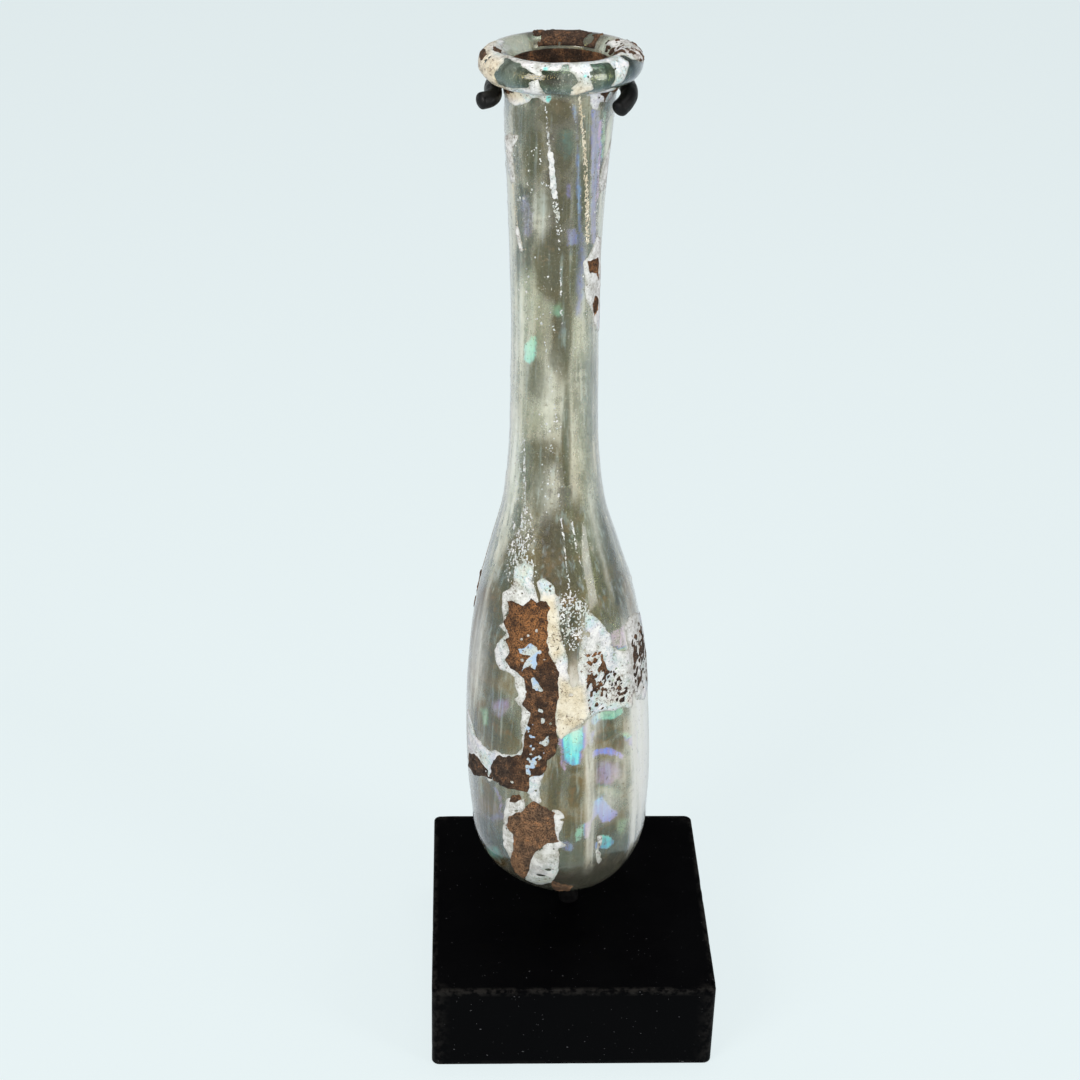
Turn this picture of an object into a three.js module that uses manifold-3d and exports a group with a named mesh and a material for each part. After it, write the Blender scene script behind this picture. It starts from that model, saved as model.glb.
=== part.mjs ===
// A Roman blown-glass unguentarium on its display stand: a tall-necked flask with a folded rim,
// held upright by a rod with a bent wire cradle under the rim, over a small square base.
// Millimetres, +Z up. The origin is the centre of the base's underside, and +Y is the stand's back.
import * as THREE from "three";
import { mergeVertices } from "three/addons/utils/BufferGeometryUtils.js";
import Module from "manifold-3d";

const wasm = await Module();
wasm.setup();

// Base: a black-painted block with eased edges.
const BASE_SIDE = 50.8;
const BASE_HEIGHT = 17.7;
const BASE_CORNER = 1.3;
const BASE_EASE = 0.5;

// Flask: heights run up its own axis from the foot's lowest point.
const FLASK_HEIGHT = 155.9;
const DOME_RADIUS = 16.0;
const DOME_HEIGHT = 15.5;
const FOOT_WALL = 3.4;
const BODY_WALL = 1.5;
const NECK_WALL = 1.25;
const BODY_WALL_TOP = 58;
const NECK_WALL_START = 84;
const FOOT_TIP_SHIFT = 1.8;
const FOOT_TIP_REACH = 10;
// Sideways place of the blown axis at heights: the body sits right of the slightly bowed neck.
const AXIS = [
  [0, 0.4],
  [14, 0.26],
  [26, 0.06],
  [38, -0.12],
  [50, -0.25],
  [62, -0.52],
  [74, -0.83],
  [88, -0.95],
  [104, -0.92],
  [120, -0.86],
  [136, -0.62],
  [148, -0.2],
  [155.9, 0],
];
// Outer radius at heights above the dome: belly, sloping shoulder, waisted neck, flare to the rim.
const OUTLINE = [
  [DOME_HEIGHT, DOME_RADIUS],
  [24, 16.5],
  [34, 16.45],
  [44, 15.95],
  [54, 14.9],
  [62, 13.3],
  [70, 11.05],
  [78, 8.8],
  [88, 7.6],
  [100, 7.33],
  [115, 7.28],
  [130, 7.75],
  [143, 8.55],
  [150.4, 8.95],
];
// Folded rim: an oval roll, wider than it is high.
const RIM_RADIUS = 10.3;
const RIM_HALF_WIDTH = 2.55;
const RIM_HALF_HEIGHT = 2.43;

// The flask stands over its pin and leans back and to the left in the cradle.
const FLASK_X = -2.15;
const FLASK_Y = 1.64;
const FLASK_LIFT = 4.5;
const LEAN_BACK = THREE.MathUtils.degToRad(3.6);
const LEAN_LEFT = THREE.MathUtils.degToRad(1.2);

// Stand: a rod from the base to the neck, a wire cradle on it, and a short pin under the flask.
const ROD_RADIUS = 1.4;
const ROD_FOOT = [-2.6, 22.3];
const ROD_SOCKET = 12;
const BRAZE_RADIUS = 1.9;
const BRAZE_SETBACK = 0.7;
const WIRE_RADIUS = 1.35;
const CRADLE_RADIUS = 10.6;
const CRADLE_HEIGHT = 149.4;
const CRADLE_SWEEP = 90;
// Tips beyond the half ring, as [right, forward, height above the ring] from the neck's axis.
const LEFT_TIP = [
  [-10.5, 2.4, 0],
  [-10.6, 4.1, -0.1],
  [-11.2, 5.5, -0.2],
  [-12.3, 6.2, -0.3],
];
const RIGHT_TIP = [
  [10.6, 2.2, 0],
  [10.5, 4.1, -0.3],
  [9.8, 5.7, -0.9],
  [8.9, 6.7, -1.5],
];
const PIN_X = 0;
const PIN_Y = 0.5;
const PIN_RADIUS = 1.8;
const PIN_RISE = 4.15;
const PIN_SOCKET = 6;
const FIT_GAP = 0.3;

// Colours and surfaces.
const glass = new THREE.MeshStandardMaterial({
  color: 0xa3b0a0,
  roughness: 0.2,
  metalness: 0,
  transparent: true,
  opacity: 0.55,
});
const blackPaint = new THREE.MeshStandardMaterial({ color: 0x0a0a0b, roughness: 0.35 });
const blackSteel = new THREE.MeshStandardMaterial({ color: 0x141414, roughness: 0.5 });

function toSolid(geometry) {
  const bare = geometry.clone();
  bare.deleteAttribute("normal");
  bare.deleteAttribute("uv");
  const merged = mergeVertices(bare, 1e-4);
  return new wasm.Manifold(
    new wasm.Mesh({
      numProp: 3,
      vertProperties: merged.attributes.position.array,
      triVerts: new Uint32Array(merged.index.array),
    }),
  );
}

function toGeometry(solid) {
  const mesh = solid.getMesh();
  const geometry = new THREE.BufferGeometry();
  geometry.setAttribute("position", new THREE.BufferAttribute(mesh.vertProperties, 3));
  geometry.setIndex(new THREE.BufferAttribute(mesh.triVerts, 1));
  const flat = geometry.toNonIndexed();
  flat.computeVertexNormals();
  return flat;
}

// A smooth curve through [height, value] stations, by cubic Hermite spans.
function through(stations, height) {
  const last = stations.length - 1;
  const slope = (i, j) => (stations[j][1] - stations[i][1]) / (stations[j][0] - stations[i][0]);
  let k = 0;
  while (k < last - 1 && height > stations[k + 1][0]) k += 1;
  const [h0, v0] = stations[k];
  const [h1, v1] = stations[k + 1];
  const m0 = slope(Math.max(k - 1, 0), k + 1);
  const m1 = slope(k, Math.min(k + 2, last));
  const span = h1 - h0;
  const t = THREE.MathUtils.clamp((height - h0) / span, 0, 1);
  return (
    (2 * t ** 3 - 3 * t ** 2 + 1) * v0 +
    (t ** 3 - 2 * t ** 2 + t) * span * m0 +
    (3 * t ** 2 - 2 * t ** 3) * v1 +
    (t ** 3 - t ** 2) * span * m1
  );
}

function wallAt(height) {
  const share = THREE.MathUtils.smoothstep(height, BODY_WALL_TOP, NECK_WALL_START);
  return THREE.MathUtils.lerp(BODY_WALL, NECK_WALL, share);
}

// Sideways shift of the blown axis, with the lopsided tip of the foot.
function bowAt(height) {
  const foot = Math.max(0, 1 - height / FOOT_TIP_REACH);
  return FOOT_TIP_SHIFT * foot ** 2 + through(AXIS, height);
}

function flaskGeometry() {
  const DOME_STEPS = 8;
  const WALL_STEPS = 22;
  const RIM_STEPS = 10;
  const AROUND = 44;
  const neckTop = OUTLINE.at(-1)[0];
  const points = [];
  // Outside: the dome from the foot, then the wall up to the rim.
  for (let i = 0; i < DOME_STEPS; i += 1) {
    const turn = ((i / DOME_STEPS) * Math.PI) / 2;
    points.push([DOME_RADIUS * Math.sin(turn), DOME_HEIGHT * (1 - Math.cos(turn))]);
  }
  for (let i = 0; i <= WALL_STEPS; i += 1) {
    const height = THREE.MathUtils.lerp(DOME_HEIGHT, neckTop, i / WALL_STEPS);
    points.push([through(OUTLINE, height), height]);
  }
  // Rim: from its underside, round the outside and over the top to the mouth.
  const rimCentre = FLASK_HEIGHT - RIM_HALF_HEIGHT;
  for (let i = 0; i <= RIM_STEPS; i += 1) {
    const turn = THREE.MathUtils.degToRad(-115 + (i / RIM_STEPS) * 285);
    points.push([
      RIM_RADIUS + RIM_HALF_WIDTH * Math.cos(turn),
      rimCentre + RIM_HALF_HEIGHT * Math.sin(turn),
    ]);
  }
  // Inside: down the wall, then the inner dome over the thick foot.
  const innerDomeTop = DOME_HEIGHT + 1.5;
  for (let i = WALL_STEPS; i >= 0; i -= 1) {
    const height = THREE.MathUtils.lerp(innerDomeTop, neckTop, i / WALL_STEPS);
    points.push([through(OUTLINE, height) - wallAt(height), height]);
  }
  const innerDomeRadius = through(OUTLINE, innerDomeTop) - BODY_WALL;
  for (let i = DOME_STEPS - 1; i >= 0; i -= 1) {
    const turn = ((i / DOME_STEPS) * Math.PI) / 2;
    const rise = (innerDomeTop - FOOT_WALL) * (1 - Math.cos(turn));
    points.push([innerDomeRadius * Math.sin(turn), FOOT_WALL + rise]);
  }
  const profile = points.map(([radius, height]) => new THREE.Vector2(radius, height));
  const geometry = new THREE.LatheGeometry(profile, AROUND).rotateX(Math.PI / 2);
  const position = geometry.getAttribute("position");
  for (let i = 0; i < position.count; i += 1) {
    position.setX(i, position.getX(i) + bowAt(position.getZ(i)));
  }
  return toGeometry(toSolid(geometry));
}

// The cradle wire's route, about the neck's axis: a half ring behind the neck, and two bent tips.
function cradleRoute() {
  const STEP = 15;
  const axis = bowAt(CRADLE_HEIGHT);
  const ring = [];
  for (let turn = -CRADLE_SWEEP; turn <= CRADLE_SWEEP; turn += STEP) {
    const angle = THREE.MathUtils.degToRad(turn);
    ring.push([CRADLE_RADIUS * Math.sin(angle), -CRADLE_RADIUS * Math.cos(angle), 0]);
  }
  return [...LEFT_TIP.toReversed(), ...ring, ...RIGHT_TIP].map(
    ([right, forward, rise]) => new THREE.Vector3(axis + right, -forward, CRADLE_HEIGHT + rise),
  );
}

// A round wire of the given radius along the cradle's route, with ball ends.
function wireSolid(radius) {
  const SIDES = 10;
  const STEPS = 48;
  const route = cradleRoute();
  const section = new THREE.Shape().absarc(0, 0, radius, 0, 2 * Math.PI);
  const tube = new THREE.ExtrudeGeometry(section, {
    steps: STEPS,
    curveSegments: SIDES / 2,
    extrudePath: new THREE.CatmullRomCurve3(route, false, "centripetal"),
  });
  const ends = [route[0], route.at(-1)].map((point) =>
    toSolid(new THREE.SphereGeometry(radius, SIDES, SIDES / 2).translate(...point)),
  );
  return ends.reduce((joined, end) => joined.add(end), toSolid(tube));
}

// A cylinder between two points.
function barBetween(start, end, radius, sides) {
  const along = new THREE.Vector3().subVectors(end, start);
  const bar = new THREE.CylinderGeometry(radius, radius, along.length(), sides);
  bar.applyQuaternion(
    new THREE.Quaternion().setFromUnitVectors(
      new THREE.Vector3(0, 1, 0),
      along.clone().normalize(),
    ),
  );
  const middle = new THREE.Vector3().addVectors(start, end).multiplyScalar(0.5);
  return toSolid(bar.translate(...middle));
}

// Where the leaning flask and its cradle stand, in the stand's frame.
const leaning = new THREE.Group();
leaning.position.set(FLASK_X, FLASK_Y, BASE_HEIGHT + FLASK_LIFT);
leaning.rotation.set(-LEAN_BACK, -LEAN_LEFT, 0, "YXZ");
leaning.updateMatrix();

const rodFoot = new THREE.Vector3(ROD_FOOT[0], ROD_FOOT[1], BASE_HEIGHT - ROD_SOCKET);
const cradleBack = new THREE.Vector3(bowAt(CRADLE_HEIGHT), CRADLE_RADIUS, CRADLE_HEIGHT);
const rodTop = cradleBack.applyMatrix4(leaning.matrix);

function rodGeometry() {
  const bar = barBetween(rodFoot, rodTop, ROD_RADIUS, 24);
  const braze = new THREE.SphereGeometry(BRAZE_RADIUS, 20, 12);
  braze.translate(rodTop.x, rodTop.y + BRAZE_SETBACK, rodTop.z - WIRE_RADIUS);
  const roomForWire = toGeometry(wireSolid(WIRE_RADIUS + FIT_GAP));
  roomForWire.applyMatrix4(leaning.matrix);
  const cut = bar.add(toSolid(braze)).subtract(toSolid(roomForWire));
  // The wire's room parts the bar's end and the braze above it; the largest piece is the rod.
  const pieces = cut.decompose().sort((a, b) => b.volume() - a.volume());
  return toGeometry(pieces[0]);
}

function pinGeometry() {
  const top = BASE_HEIGHT + PIN_RISE;
  const foot = BASE_HEIGHT - PIN_SOCKET;
  const EDGE = 0.4;
  const profile = [
    [0, foot],
    [PIN_RADIUS, foot],
    [PIN_RADIUS, top - EDGE],
    [PIN_RADIUS - EDGE, top],
    [0, top],
  ].map(([radius, height]) => new THREE.Vector2(radius, height));
  return new THREE.LatheGeometry(profile, 24).rotateX(Math.PI / 2).translate(PIN_X, PIN_Y, 0);
}

function baseGeometry() {
  const half = BASE_SIDE / 2 - BASE_EASE;
  const corner = BASE_CORNER - BASE_EASE;
  const outline = new THREE.Shape();
  outline.absarc(half - corner, half - corner, corner, 0, Math.PI / 2);
  outline.absarc(corner - half, half - corner, corner, Math.PI / 2, Math.PI);
  outline.absarc(corner - half, corner - half, corner, Math.PI, 1.5 * Math.PI);
  outline.absarc(half - corner, corner - half, corner, 1.5 * Math.PI, 2 * Math.PI);
  const block = new THREE.ExtrudeGeometry(outline, {
    depth: BASE_HEIGHT - 2 * BASE_EASE,
    bevelThickness: BASE_EASE,
    bevelSize: BASE_EASE,
    bevelSegments: 2,
    curveSegments: 5,
  }).translate(0, 0, BASE_EASE);
  // Drilled seats for the rod and the pin.
  const rodWay = new THREE.Vector3().subVectors(rodTop, rodFoot).normalize();
  const rodSeat = barBetween(
    rodFoot.clone().addScaledVector(rodWay, -FIT_GAP),
    rodFoot.clone().addScaledVector(rodWay, ROD_SOCKET + 5),
    ROD_RADIUS + FIT_GAP,
    24,
  );
  const pinSeat = barBetween(
    new THREE.Vector3(PIN_X, PIN_Y, BASE_HEIGHT - PIN_SOCKET - FIT_GAP),
    new THREE.Vector3(PIN_X, PIN_Y, BASE_HEIGHT + 5),
    PIN_RADIUS + FIT_GAP,
    24,
  );
  return toGeometry(toSolid(block).subtract(rodSeat).subtract(pinSeat));
}

function named(name, geometry, material) {
  const mesh = new THREE.Mesh(geometry, material);
  mesh.name = name;
  return mesh;
}

leaning.add(named("flask", flaskGeometry(), glass));
leaning.add(named("neck_cradle", toGeometry(wireSolid(WIRE_RADIUS)), blackSteel));

const stand = new THREE.Group();
stand.add(named("base", baseGeometry(), blackPaint));
stand.add(named("support_rod", rodGeometry(), blackSteel));
stand.add(named("rest_pin", pinGeometry(), blackSteel));

const unguentarium = new THREE.Group();
unguentarium.add(stand, leaning);

export default unguentarium;
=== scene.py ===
"""A Roman blown-glass unguentarium on its display stand.

Lengths are in millimetres and become metres where a mesh is made. A place on the flask is an
(angle, run) pair: degrees round its axis, 0 at the front and positive to the right, and
millimetres up the outside, over the rim and down into the mouth.
"""
import math

import bpy
import numpy as np
from mathutils import Matrix


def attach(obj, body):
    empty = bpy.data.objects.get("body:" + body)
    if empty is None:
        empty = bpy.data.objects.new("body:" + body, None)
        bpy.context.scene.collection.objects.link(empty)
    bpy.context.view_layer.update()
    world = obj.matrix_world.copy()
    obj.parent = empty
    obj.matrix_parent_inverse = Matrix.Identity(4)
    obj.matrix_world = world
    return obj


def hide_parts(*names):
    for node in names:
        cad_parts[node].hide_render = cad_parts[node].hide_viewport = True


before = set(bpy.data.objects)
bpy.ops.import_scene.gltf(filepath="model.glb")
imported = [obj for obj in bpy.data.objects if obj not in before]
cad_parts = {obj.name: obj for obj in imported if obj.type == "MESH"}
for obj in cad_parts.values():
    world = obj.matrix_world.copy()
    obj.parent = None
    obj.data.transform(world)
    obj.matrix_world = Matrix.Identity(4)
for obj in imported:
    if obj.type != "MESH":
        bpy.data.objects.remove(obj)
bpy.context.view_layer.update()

MM = 0.001
# How far from an outline, in millimetres, distances are worked out
FAR = 3.0
# Degrees in one sector of strewn grains
GRAIN_SECTOR = 30
# The least radius, in millimetres, that turns angles into lengths, for the tip of the foot
SMALLEST_RADIUS = 2.0

# Base block
BASE_SIDE = 50.8
BASE_HEIGHT = 17.7
BASE_CORNER = 1.3
BASE_EASE = 0.5

# Flask outline, as in the solid: heights run up its own axis
FLASK_HEIGHT = 155.9
DOME_RADIUS = 16.0
DOME_HEIGHT = 15.5
FOOT_WALL = 3.4
BODY_WALL = 1.5
NECK_WALL = 1.25
BODY_WALL_TOP = 58
NECK_WALL_START = 84
FOOT_TIP_SHIFT = 1.8
FOOT_TIP_REACH = 10
AXIS = np.array([
    (0, 0.4), (14, 0.26), (26, 0.06), (38, -0.12), (50, -0.25), (62, -0.52), (74, -0.83), (88, -0.95),
    (104, -0.92), (120, -0.86), (136, -0.62), (148, -0.2), (FLASK_HEIGHT, 0),
])
OUTLINE = np.array([
    (DOME_HEIGHT, DOME_RADIUS), (24, 16.5), (34, 16.45), (44, 15.95), (54, 14.9), (62, 13.3), (70, 11.05),
    (78, 8.8), (88, 7.6), (100, 7.33), (115, 7.28), (130, 7.75), (143, 8.55), (150.4, 8.95),
])
NECK_TOP = OUTLINE[-1, 0]
HOLLOW_DOME_TOP = DOME_HEIGHT + BODY_WALL
RIM_RADIUS = 10.3
RIM_HALF_WIDTH = 2.55
RIM_HALF_HEIGHT = 2.43
RIM_CENTRE = FLASK_HEIGHT - RIM_HALF_HEIGHT
RIM_START = -115
RIM_SWEEP = 285
RIM_RUN = 12.4

# Where the flask leans, in the stand's frame
FLASK_FOOT = np.array([-2.15, 1.64, BASE_HEIGHT + 4.5])
LEAN_BACK = math.radians(3.6)
LEAN_LEFT = math.radians(1.2)

# Stand
ROD_RADIUS = 1.4
ROD_FOOT = np.array([-2.6, 22.3, BASE_HEIGHT - 12])
ROD_SHORT = 1.2
BAR_SIDES = 32
BRAZE_RADIUS = 1.9
BRAZE_SETBACK = 0.7
WIRE_RADIUS = 1.35
CRADLE_RADIUS = 10.6
CRADLE_HEIGHT = 149.4
LEFT_TIP = [(-10.5, 2.4, 0), (-10.6, 4.1, -0.1), (-11.2, 5.5, -0.2), (-12.3, 6.2, -0.3)]
RIGHT_TIP = [(10.6, 2.2, 0), (10.5, 4.1, -0.3), (9.8, 5.7, -0.9), (8.9, 6.7, -1.5)]
PIN_PLACE = (0, 0.5)
PIN_RADIUS = 1.8
PIN_TOP = BASE_HEIGHT + 4.15

# Camera, solved from the base's corners: millimetres, degrees, and a lens on a 36 mm sensor
CAMERA_PLACE = (-21.84, -315.42, 281.17)
CAMERA_PITCH = 30.42
CAMERA_YAW = 2.66
CAMERA_ROLL = 1.57
CAMERA_LENS = 72.02

# What the lights aim at, and half the floor's side
LIGHT_AIM = (0, 0, 90)
FLOOR_REACH = 3000

# Soil inside the mouth: degrees round the axis, and heights
MOUTH_SOIL_ANGLES = (88, 268)
MOUTH_SOIL_HEIGHTS = (118, 153.6)

# Creases and ribs left by the blowing: (angle, lowest run, highest run, half width in degrees, height)
RIBS = [
    (6, 26, 58, 5, -0.35), (15, 12, 62, 4, 0.4), (30, 8, 56, 11, -0.45), (48, 10, 60, 5, 0.4),
    (20, 76, 102, 8, -0.3), (-15, 64, 92, 6, 0.15), (-54, 20, 60, 12, -0.2), (120, 20, 70, 9, -0.35),
    (150, 14, 62, 6, 0.3), (-130, 24, 66, 8, -0.3), (170, 70, 140, 10, 0.15),
]
# Soil, as outlines of (angle, run)
SOIL = [
    [(-42.4, 63.5), (-36.1, 64.1), (-28, 63.9), (-21.8, 65.7), (-17.8, 64.8), (-9.7, 65), (-6.8, 63.7),
     (-9.8, 62.7), (-7.9, 60.7), (-8, 57.7), (-6.1, 55.8), (-4.1, 54.4), (-0.2, 52.4), (-1.2, 51.2),
     (-3.1, 45.4), (-2.1, 40.5), (-4, 36.4), (-8, 35.6), (-11, 32.6), (-19.1, 31.7), (-20.1, 28.6),
     (-26.2, 28.2), (-39.5, 28.1), (-51, 28.2), (-48.9, 29.9), (-46.8, 32.8), (-40.6, 34.5),
     (-30.3, 35.2), (-25.2, 36), (-23.2, 38.2), (-22.3, 42.6), (-20.3, 44.8), (-24.4, 46.1),
     (-21.3, 47.6), (-23.4, 51), (-27.4, 51.6), (-34.6, 52.2), (-38.7, 53.2), (-35.5, 54.7), (-39.6, 57),
     (-36.4, 58.1), (-42.6, 59.6), (-38.3, 61.7)],
    [(-75.9, 29.6), (-75.9, 29.4), (-62, 31.3), (-51, 30), (-51, 28.2), (-67.7, 26.4), (-75.9, 27)],
    [(-22.1, 25.5), (-16, 27), (-12, 26.1), (-3.9, 25.1), (-4.9, 21.7), (-1.9, 18.4), (-10, 17.9),
     (-16, 16), (-20, 14.1), (-24.1, 10.3), (-30.2, 7.8), (-36.3, 8.7), (-36.3, 11.9), (-32.3, 15.4),
     (-32.3, 18.7), (-36.4, 20.1), (-34.3, 22.4), (-26.1, 24.5)],
    [(-30.2, 27), (-26.2, 27.6), (-24.1, 26.6), (-30.2, 25.5), (-34.3, 25.3)],
    [(-7.9, 8.6), (8.1, 6.7), (4.4, 4.2), (-7.8, 5.6)],
    [(42.3, 150.1), (42.1, 153.6), (60.3, 150.5), (48.4, 148.6)],
    [(-77, 150.2), (-49.8, 152), (-57.6, 149.6), (-75.1, 149.3)],
    [(42, 122.9), (63.2, 122.4), (69.6, 117.7), (59.9, 120), (46.2, 120.6)],
    [(58.3, 116.4), (71.3, 115), (71.9, 112.9), (59.9, 112.6), (52.8, 114.7)],
    [(-98, 158.8), (-77, 159.9), (-66, 159.1), (-75.9, 158.6)],
    [(-92, 156.2), (-102, 157.1), (-75.9, 157.8), (-75.9, 156.3)],
]
# Soil lying in grains over the crust
SOIL_SPARSE = [
    [(128, 162.6), (109, 157.4), (100, 155.4), (84, 155.6), (66, 157), (62, 159.2), (74, 162.6)],
    [(17.8, 55.5), (29.6, 55.1), (33.3, 51.3), (41, 49.7), (46.7, 46.4), (43, 44.4), (29.5, 44.2),
     (16.8, 43.9), (15.7, 50.1)],
    [(57.9, 56.2), (64.7, 56.6), (78, 55.6), (83, 51.9), (82, 47.2), (78, 43.6), (63.7, 43.8), (56, 45.1),
     (54.9, 50.3)],
]
# Places where crust shows through the soil, wholly and then in grains
SOIL_GAPS = [
    [(-30.3, 56), (-20.1, 57.6), (-13.1, 57.2), (-14.1, 55.4), (-15.2, 52.6), (-19.2, 53.4),
     (-26.4, 51.8), (-24.3, 53.7), (-20.2, 55.2), (-27.3, 55)],
    [(-19.3, 51.1), (-16.3, 51.7), (-13.3, 50.5), (-10.2, 49.2), (-12.2, 48.2), (-17.3, 49.5)],
    [(-16.2, 45.9), (-12.2, 45.8), (-9.2, 44.9), (-12.2, 44.3), (-15.2, 44.9)],
    [(-13.2, 44), (-9.1, 43.9), (-8.1, 42.9), (-12.1, 42.6)],
]
SOIL_GAPS_SPARSE = [
    [(-21.2, 42), (-16.2, 43), (-7.1, 41), (-7.1, 39), (-10, 36), (-11, 33), (-20.1, 32), (-22.1, 34.5),
     (-19.1, 37), (-21.2, 40)],
]
# White and cream crust, then the parts of it that are cream
CRUST = [
    [(122, 162), (109, 157.6), (98, 155.8), (80, 156), (62, 157.2), (60, 159.4), (74, 162)],
    [(-39.8, 69.3), (-38, 67), (-48.6, 64.3), (-46.6, 62), (-43.6, 59.8), (-46.8, 58.9), (-38.5, 58),
     (-44.8, 56.2), (-49.1, 54), (-47.1, 52.4), (-42.9, 51.2), (-30.5, 50.5), (-27.4, 47.5),
     (-29.5, 46.3), (-24.3, 45.4), (-25.3, 42.5), (-24.2, 37.4), (-28.3, 35.6), (-43.7, 34.8),
     (-51.1, 34), (-64.3, 35), (-75.9, 38.5), (-80, 38), (-80, 31), (-75.9, 30.2), (-59.7, 29.4),
     (-51, 27.8), (-24.2, 30.5), (-14, 32.8), (-7.1, 39.3), (-7.2, 52), (-13.8, 63.6), (-16.7, 66.2),
     (-21.6, 68), (-22.4, 70.5), (-31.5, 71)],
    [(-17.6, 67.7), (-12.5, 68.5), (-4.5, 67.6), (-1.6, 66.5), (1.3, 65.2), (0.2, 63), (1.1, 60.7),
     (2, 59.1), (4, 56.7), (4.9, 53.8), (5.8, 50.3), (7.8, 49.4), (10.7, 50.5), (11.8, 54.1),
     (12.9, 56.6), (16.9, 59.2), (18, 61.4), (21.1, 62.9), (25.9, 62), (31.7, 60.6), (36.5, 58.7),
     (38.4, 57.1), (37.4, 55.8), (46.8, 53.7), (53.3, 53.7), (54.1, 46.4), (51.5, 42.9), (43, 43.3),
     (31.5, 43.8), (22.7, 44), (15.8, 43.4), (9.9, 42), (3.9, 41), (-0.1, 40), (-4.1, 41.8), (-4.2, 52),
     (-7.1, 55.6), (-11, 59.1), (-13.8, 63.6), (-13.7, 65.8)],
    [(52.6, 57.5), (59.8, 58.4), (72, 58), (92, 55.4), (96, 50), (92, 42), (70, 41.5), (56, 43.5),
     (52.3, 46), (53.2, 51.8)],
    [(-24.2, 34.7), (-11, 34.2), (-12, 31.7), (-14, 29.5), (-12, 26.9), (-18, 26.5), (-21.1, 28.6),
     (-24.2, 31)],
    [(-36.4, 26), (-23.1, 26.6), (-24.1, 24.1), (-32.3, 21.4), (-34.3, 19.3), (-29.2, 18.4),
     (-30.2, 13.2), (-36.3, 12.6), (-40.5, 15.3), (-39.5, 20.1), (-38.4, 23)],
    [(-6, 25.6), (-0.9, 25.2), (1.1, 24), (0.1, 21.7), (-1.9, 19), (2.1, 17.9), (-6, 16.9), (-6, 21.7)],
    [(-19, 16.5), (-8, 18.5), (-2.9, 17.5), (-2.9, 14.2), (-3.9, 11.9), (-7.9, 8.1), (-22, 6.5),
     (-30.1, 7.3), (-24.1, 11.9)],
    [(21.9, 18.5), (25.8, 17.9), (25.8, 15.3), (27.8, 12.5), (25.9, 11.1), (23.9, 13.1), (23.9, 15.5)],
    [(-51.9, 154), (-37.9, 153.7), (-25.9, 154), (-18, 155.8), (-13.9, 153.8), (-10.8, 150),
     (-13.8, 149.1), (-24.8, 149.9), (-33.7, 149.4), (-42.7, 148.6), (-55.5, 147.8), (-68.3, 148.4),
     (-90, 148.8), (-90, 152)],
    [(18.1, 153.3), (29.1, 153), (40.1, 153.9), (62.3, 151), (62.5, 148.4), (42.3, 148.5), (38.4, 147.5),
     (32.3, 148), (26.2, 149.7)],
    [(-82, 142), (-62.4, 143.5), (-48.9, 143.4), (-57.1, 141.3), (-61.6, 140.1), (-55.6, 138.3),
     (-55.1, 135.7), (-64, 135.2), (-74, 137), (-76, 139.7)],
    [(-58.9, 128.2), (-50.5, 128.3), (-44.8, 124.5), (-50.5, 124.3), (-57.1, 126.6)],
    [(58.9, 127.2), (72.5, 126), (75.1, 122.1), (90, 117), (90, 109), (65.8, 110.1), (54.7, 113),
     (43.6, 115.8), (40, 120), (34.8, 123), (46.2, 124)],
    [(52.2, 138.1), (64.5, 140), (75.2, 142), (75.9, 134), (59, 133.8), (52.6, 135.6)],
    [(-112, 156), (-112, 160), (-78, 161), (-56, 158.7), (-50, 157.7), (-51.9, 155.3), (-53.8, 153.2),
     (-68.7, 153.2), (-82, 154.1)],
    [(-37, 158.5), (-27, 159.8), (-12, 159.4), (0, 159.3), (-2, 157.5), (-16, 157.5), (-13, 156),
     (-22, 156.6), (-32, 157.3)],
    [(4, 159.5), (20, 158.9), (21, 157), (18, 156.1), (21.1, 154.2), (12.1, 153.3), (4.1, 151.9),
     (4.1, 154.6), (10.1, 155.6), (4, 157)],
    [(37, 158.6), (52, 159), (56, 157.2), (50.1, 156.1), (44.1, 154.4), (35.1, 154.3), (37.1, 155.9),
     (38, 156.9)],
    [(-24.9, 154.9), (-18, 155.8), (-14.9, 153.8), (-10.8, 149.7), (-19.9, 152.3)],
]
CREAM = [
    [(-2.2, 52), (15.7, 50), (17.8, 44.1), (9.9, 41), (3.9, 39.7), (-4, 39.4), (-4.2, 46)],
    [(-13.7, 66), (-1.6, 66), (3.9, 56), (-6.1, 54), (-10, 59)],
    [(-112, 152), (-112, 159), (-52, 158), (-39.7, 149), (-80, 148)],
    [(4.1, 155), (22.1, 155), (22.1, 151.6), (4.1, 151.6)],
]
# Crust lying in silvery grains: (share covered, outline)
CRUST_GRAINS = [
    (0.6, [(0, 65.7), (8.4, 67.4), (16.3, 66.3), (22.1, 64.5), (23, 62.4), (18.9, 59.2), (11.9, 56.3),
        (4, 57.2), (1.1, 59.8), (-1, 63)]),
    (0.5, [(-38, 80), (-27, 79), (-21, 74), (-24, 71.5), (-21, 69), (-20, 67), (-40, 66.5), (-50, 69.1),
        (-52.5, 71.6), (-46, 76)]),
    (0.9, [(-36, 74), (-28, 76), (-22, 72), (-22, 68), (-34, 67.5)]),
    (0.035, [(-24, 100), (4, 102), (14, 88), (10, 78), (-20, 80)]),
    (0.12, [(-16, 86), (-2, 87), (0, 80), (-14, 79)]),
    (0.02, [(-70, 150), (60, 150), (60, 104), (-70, 104)]),
    (0.15, [(-62, 92), (-48, 94), (-40, 80), (-52, 76)]),
]
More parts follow.
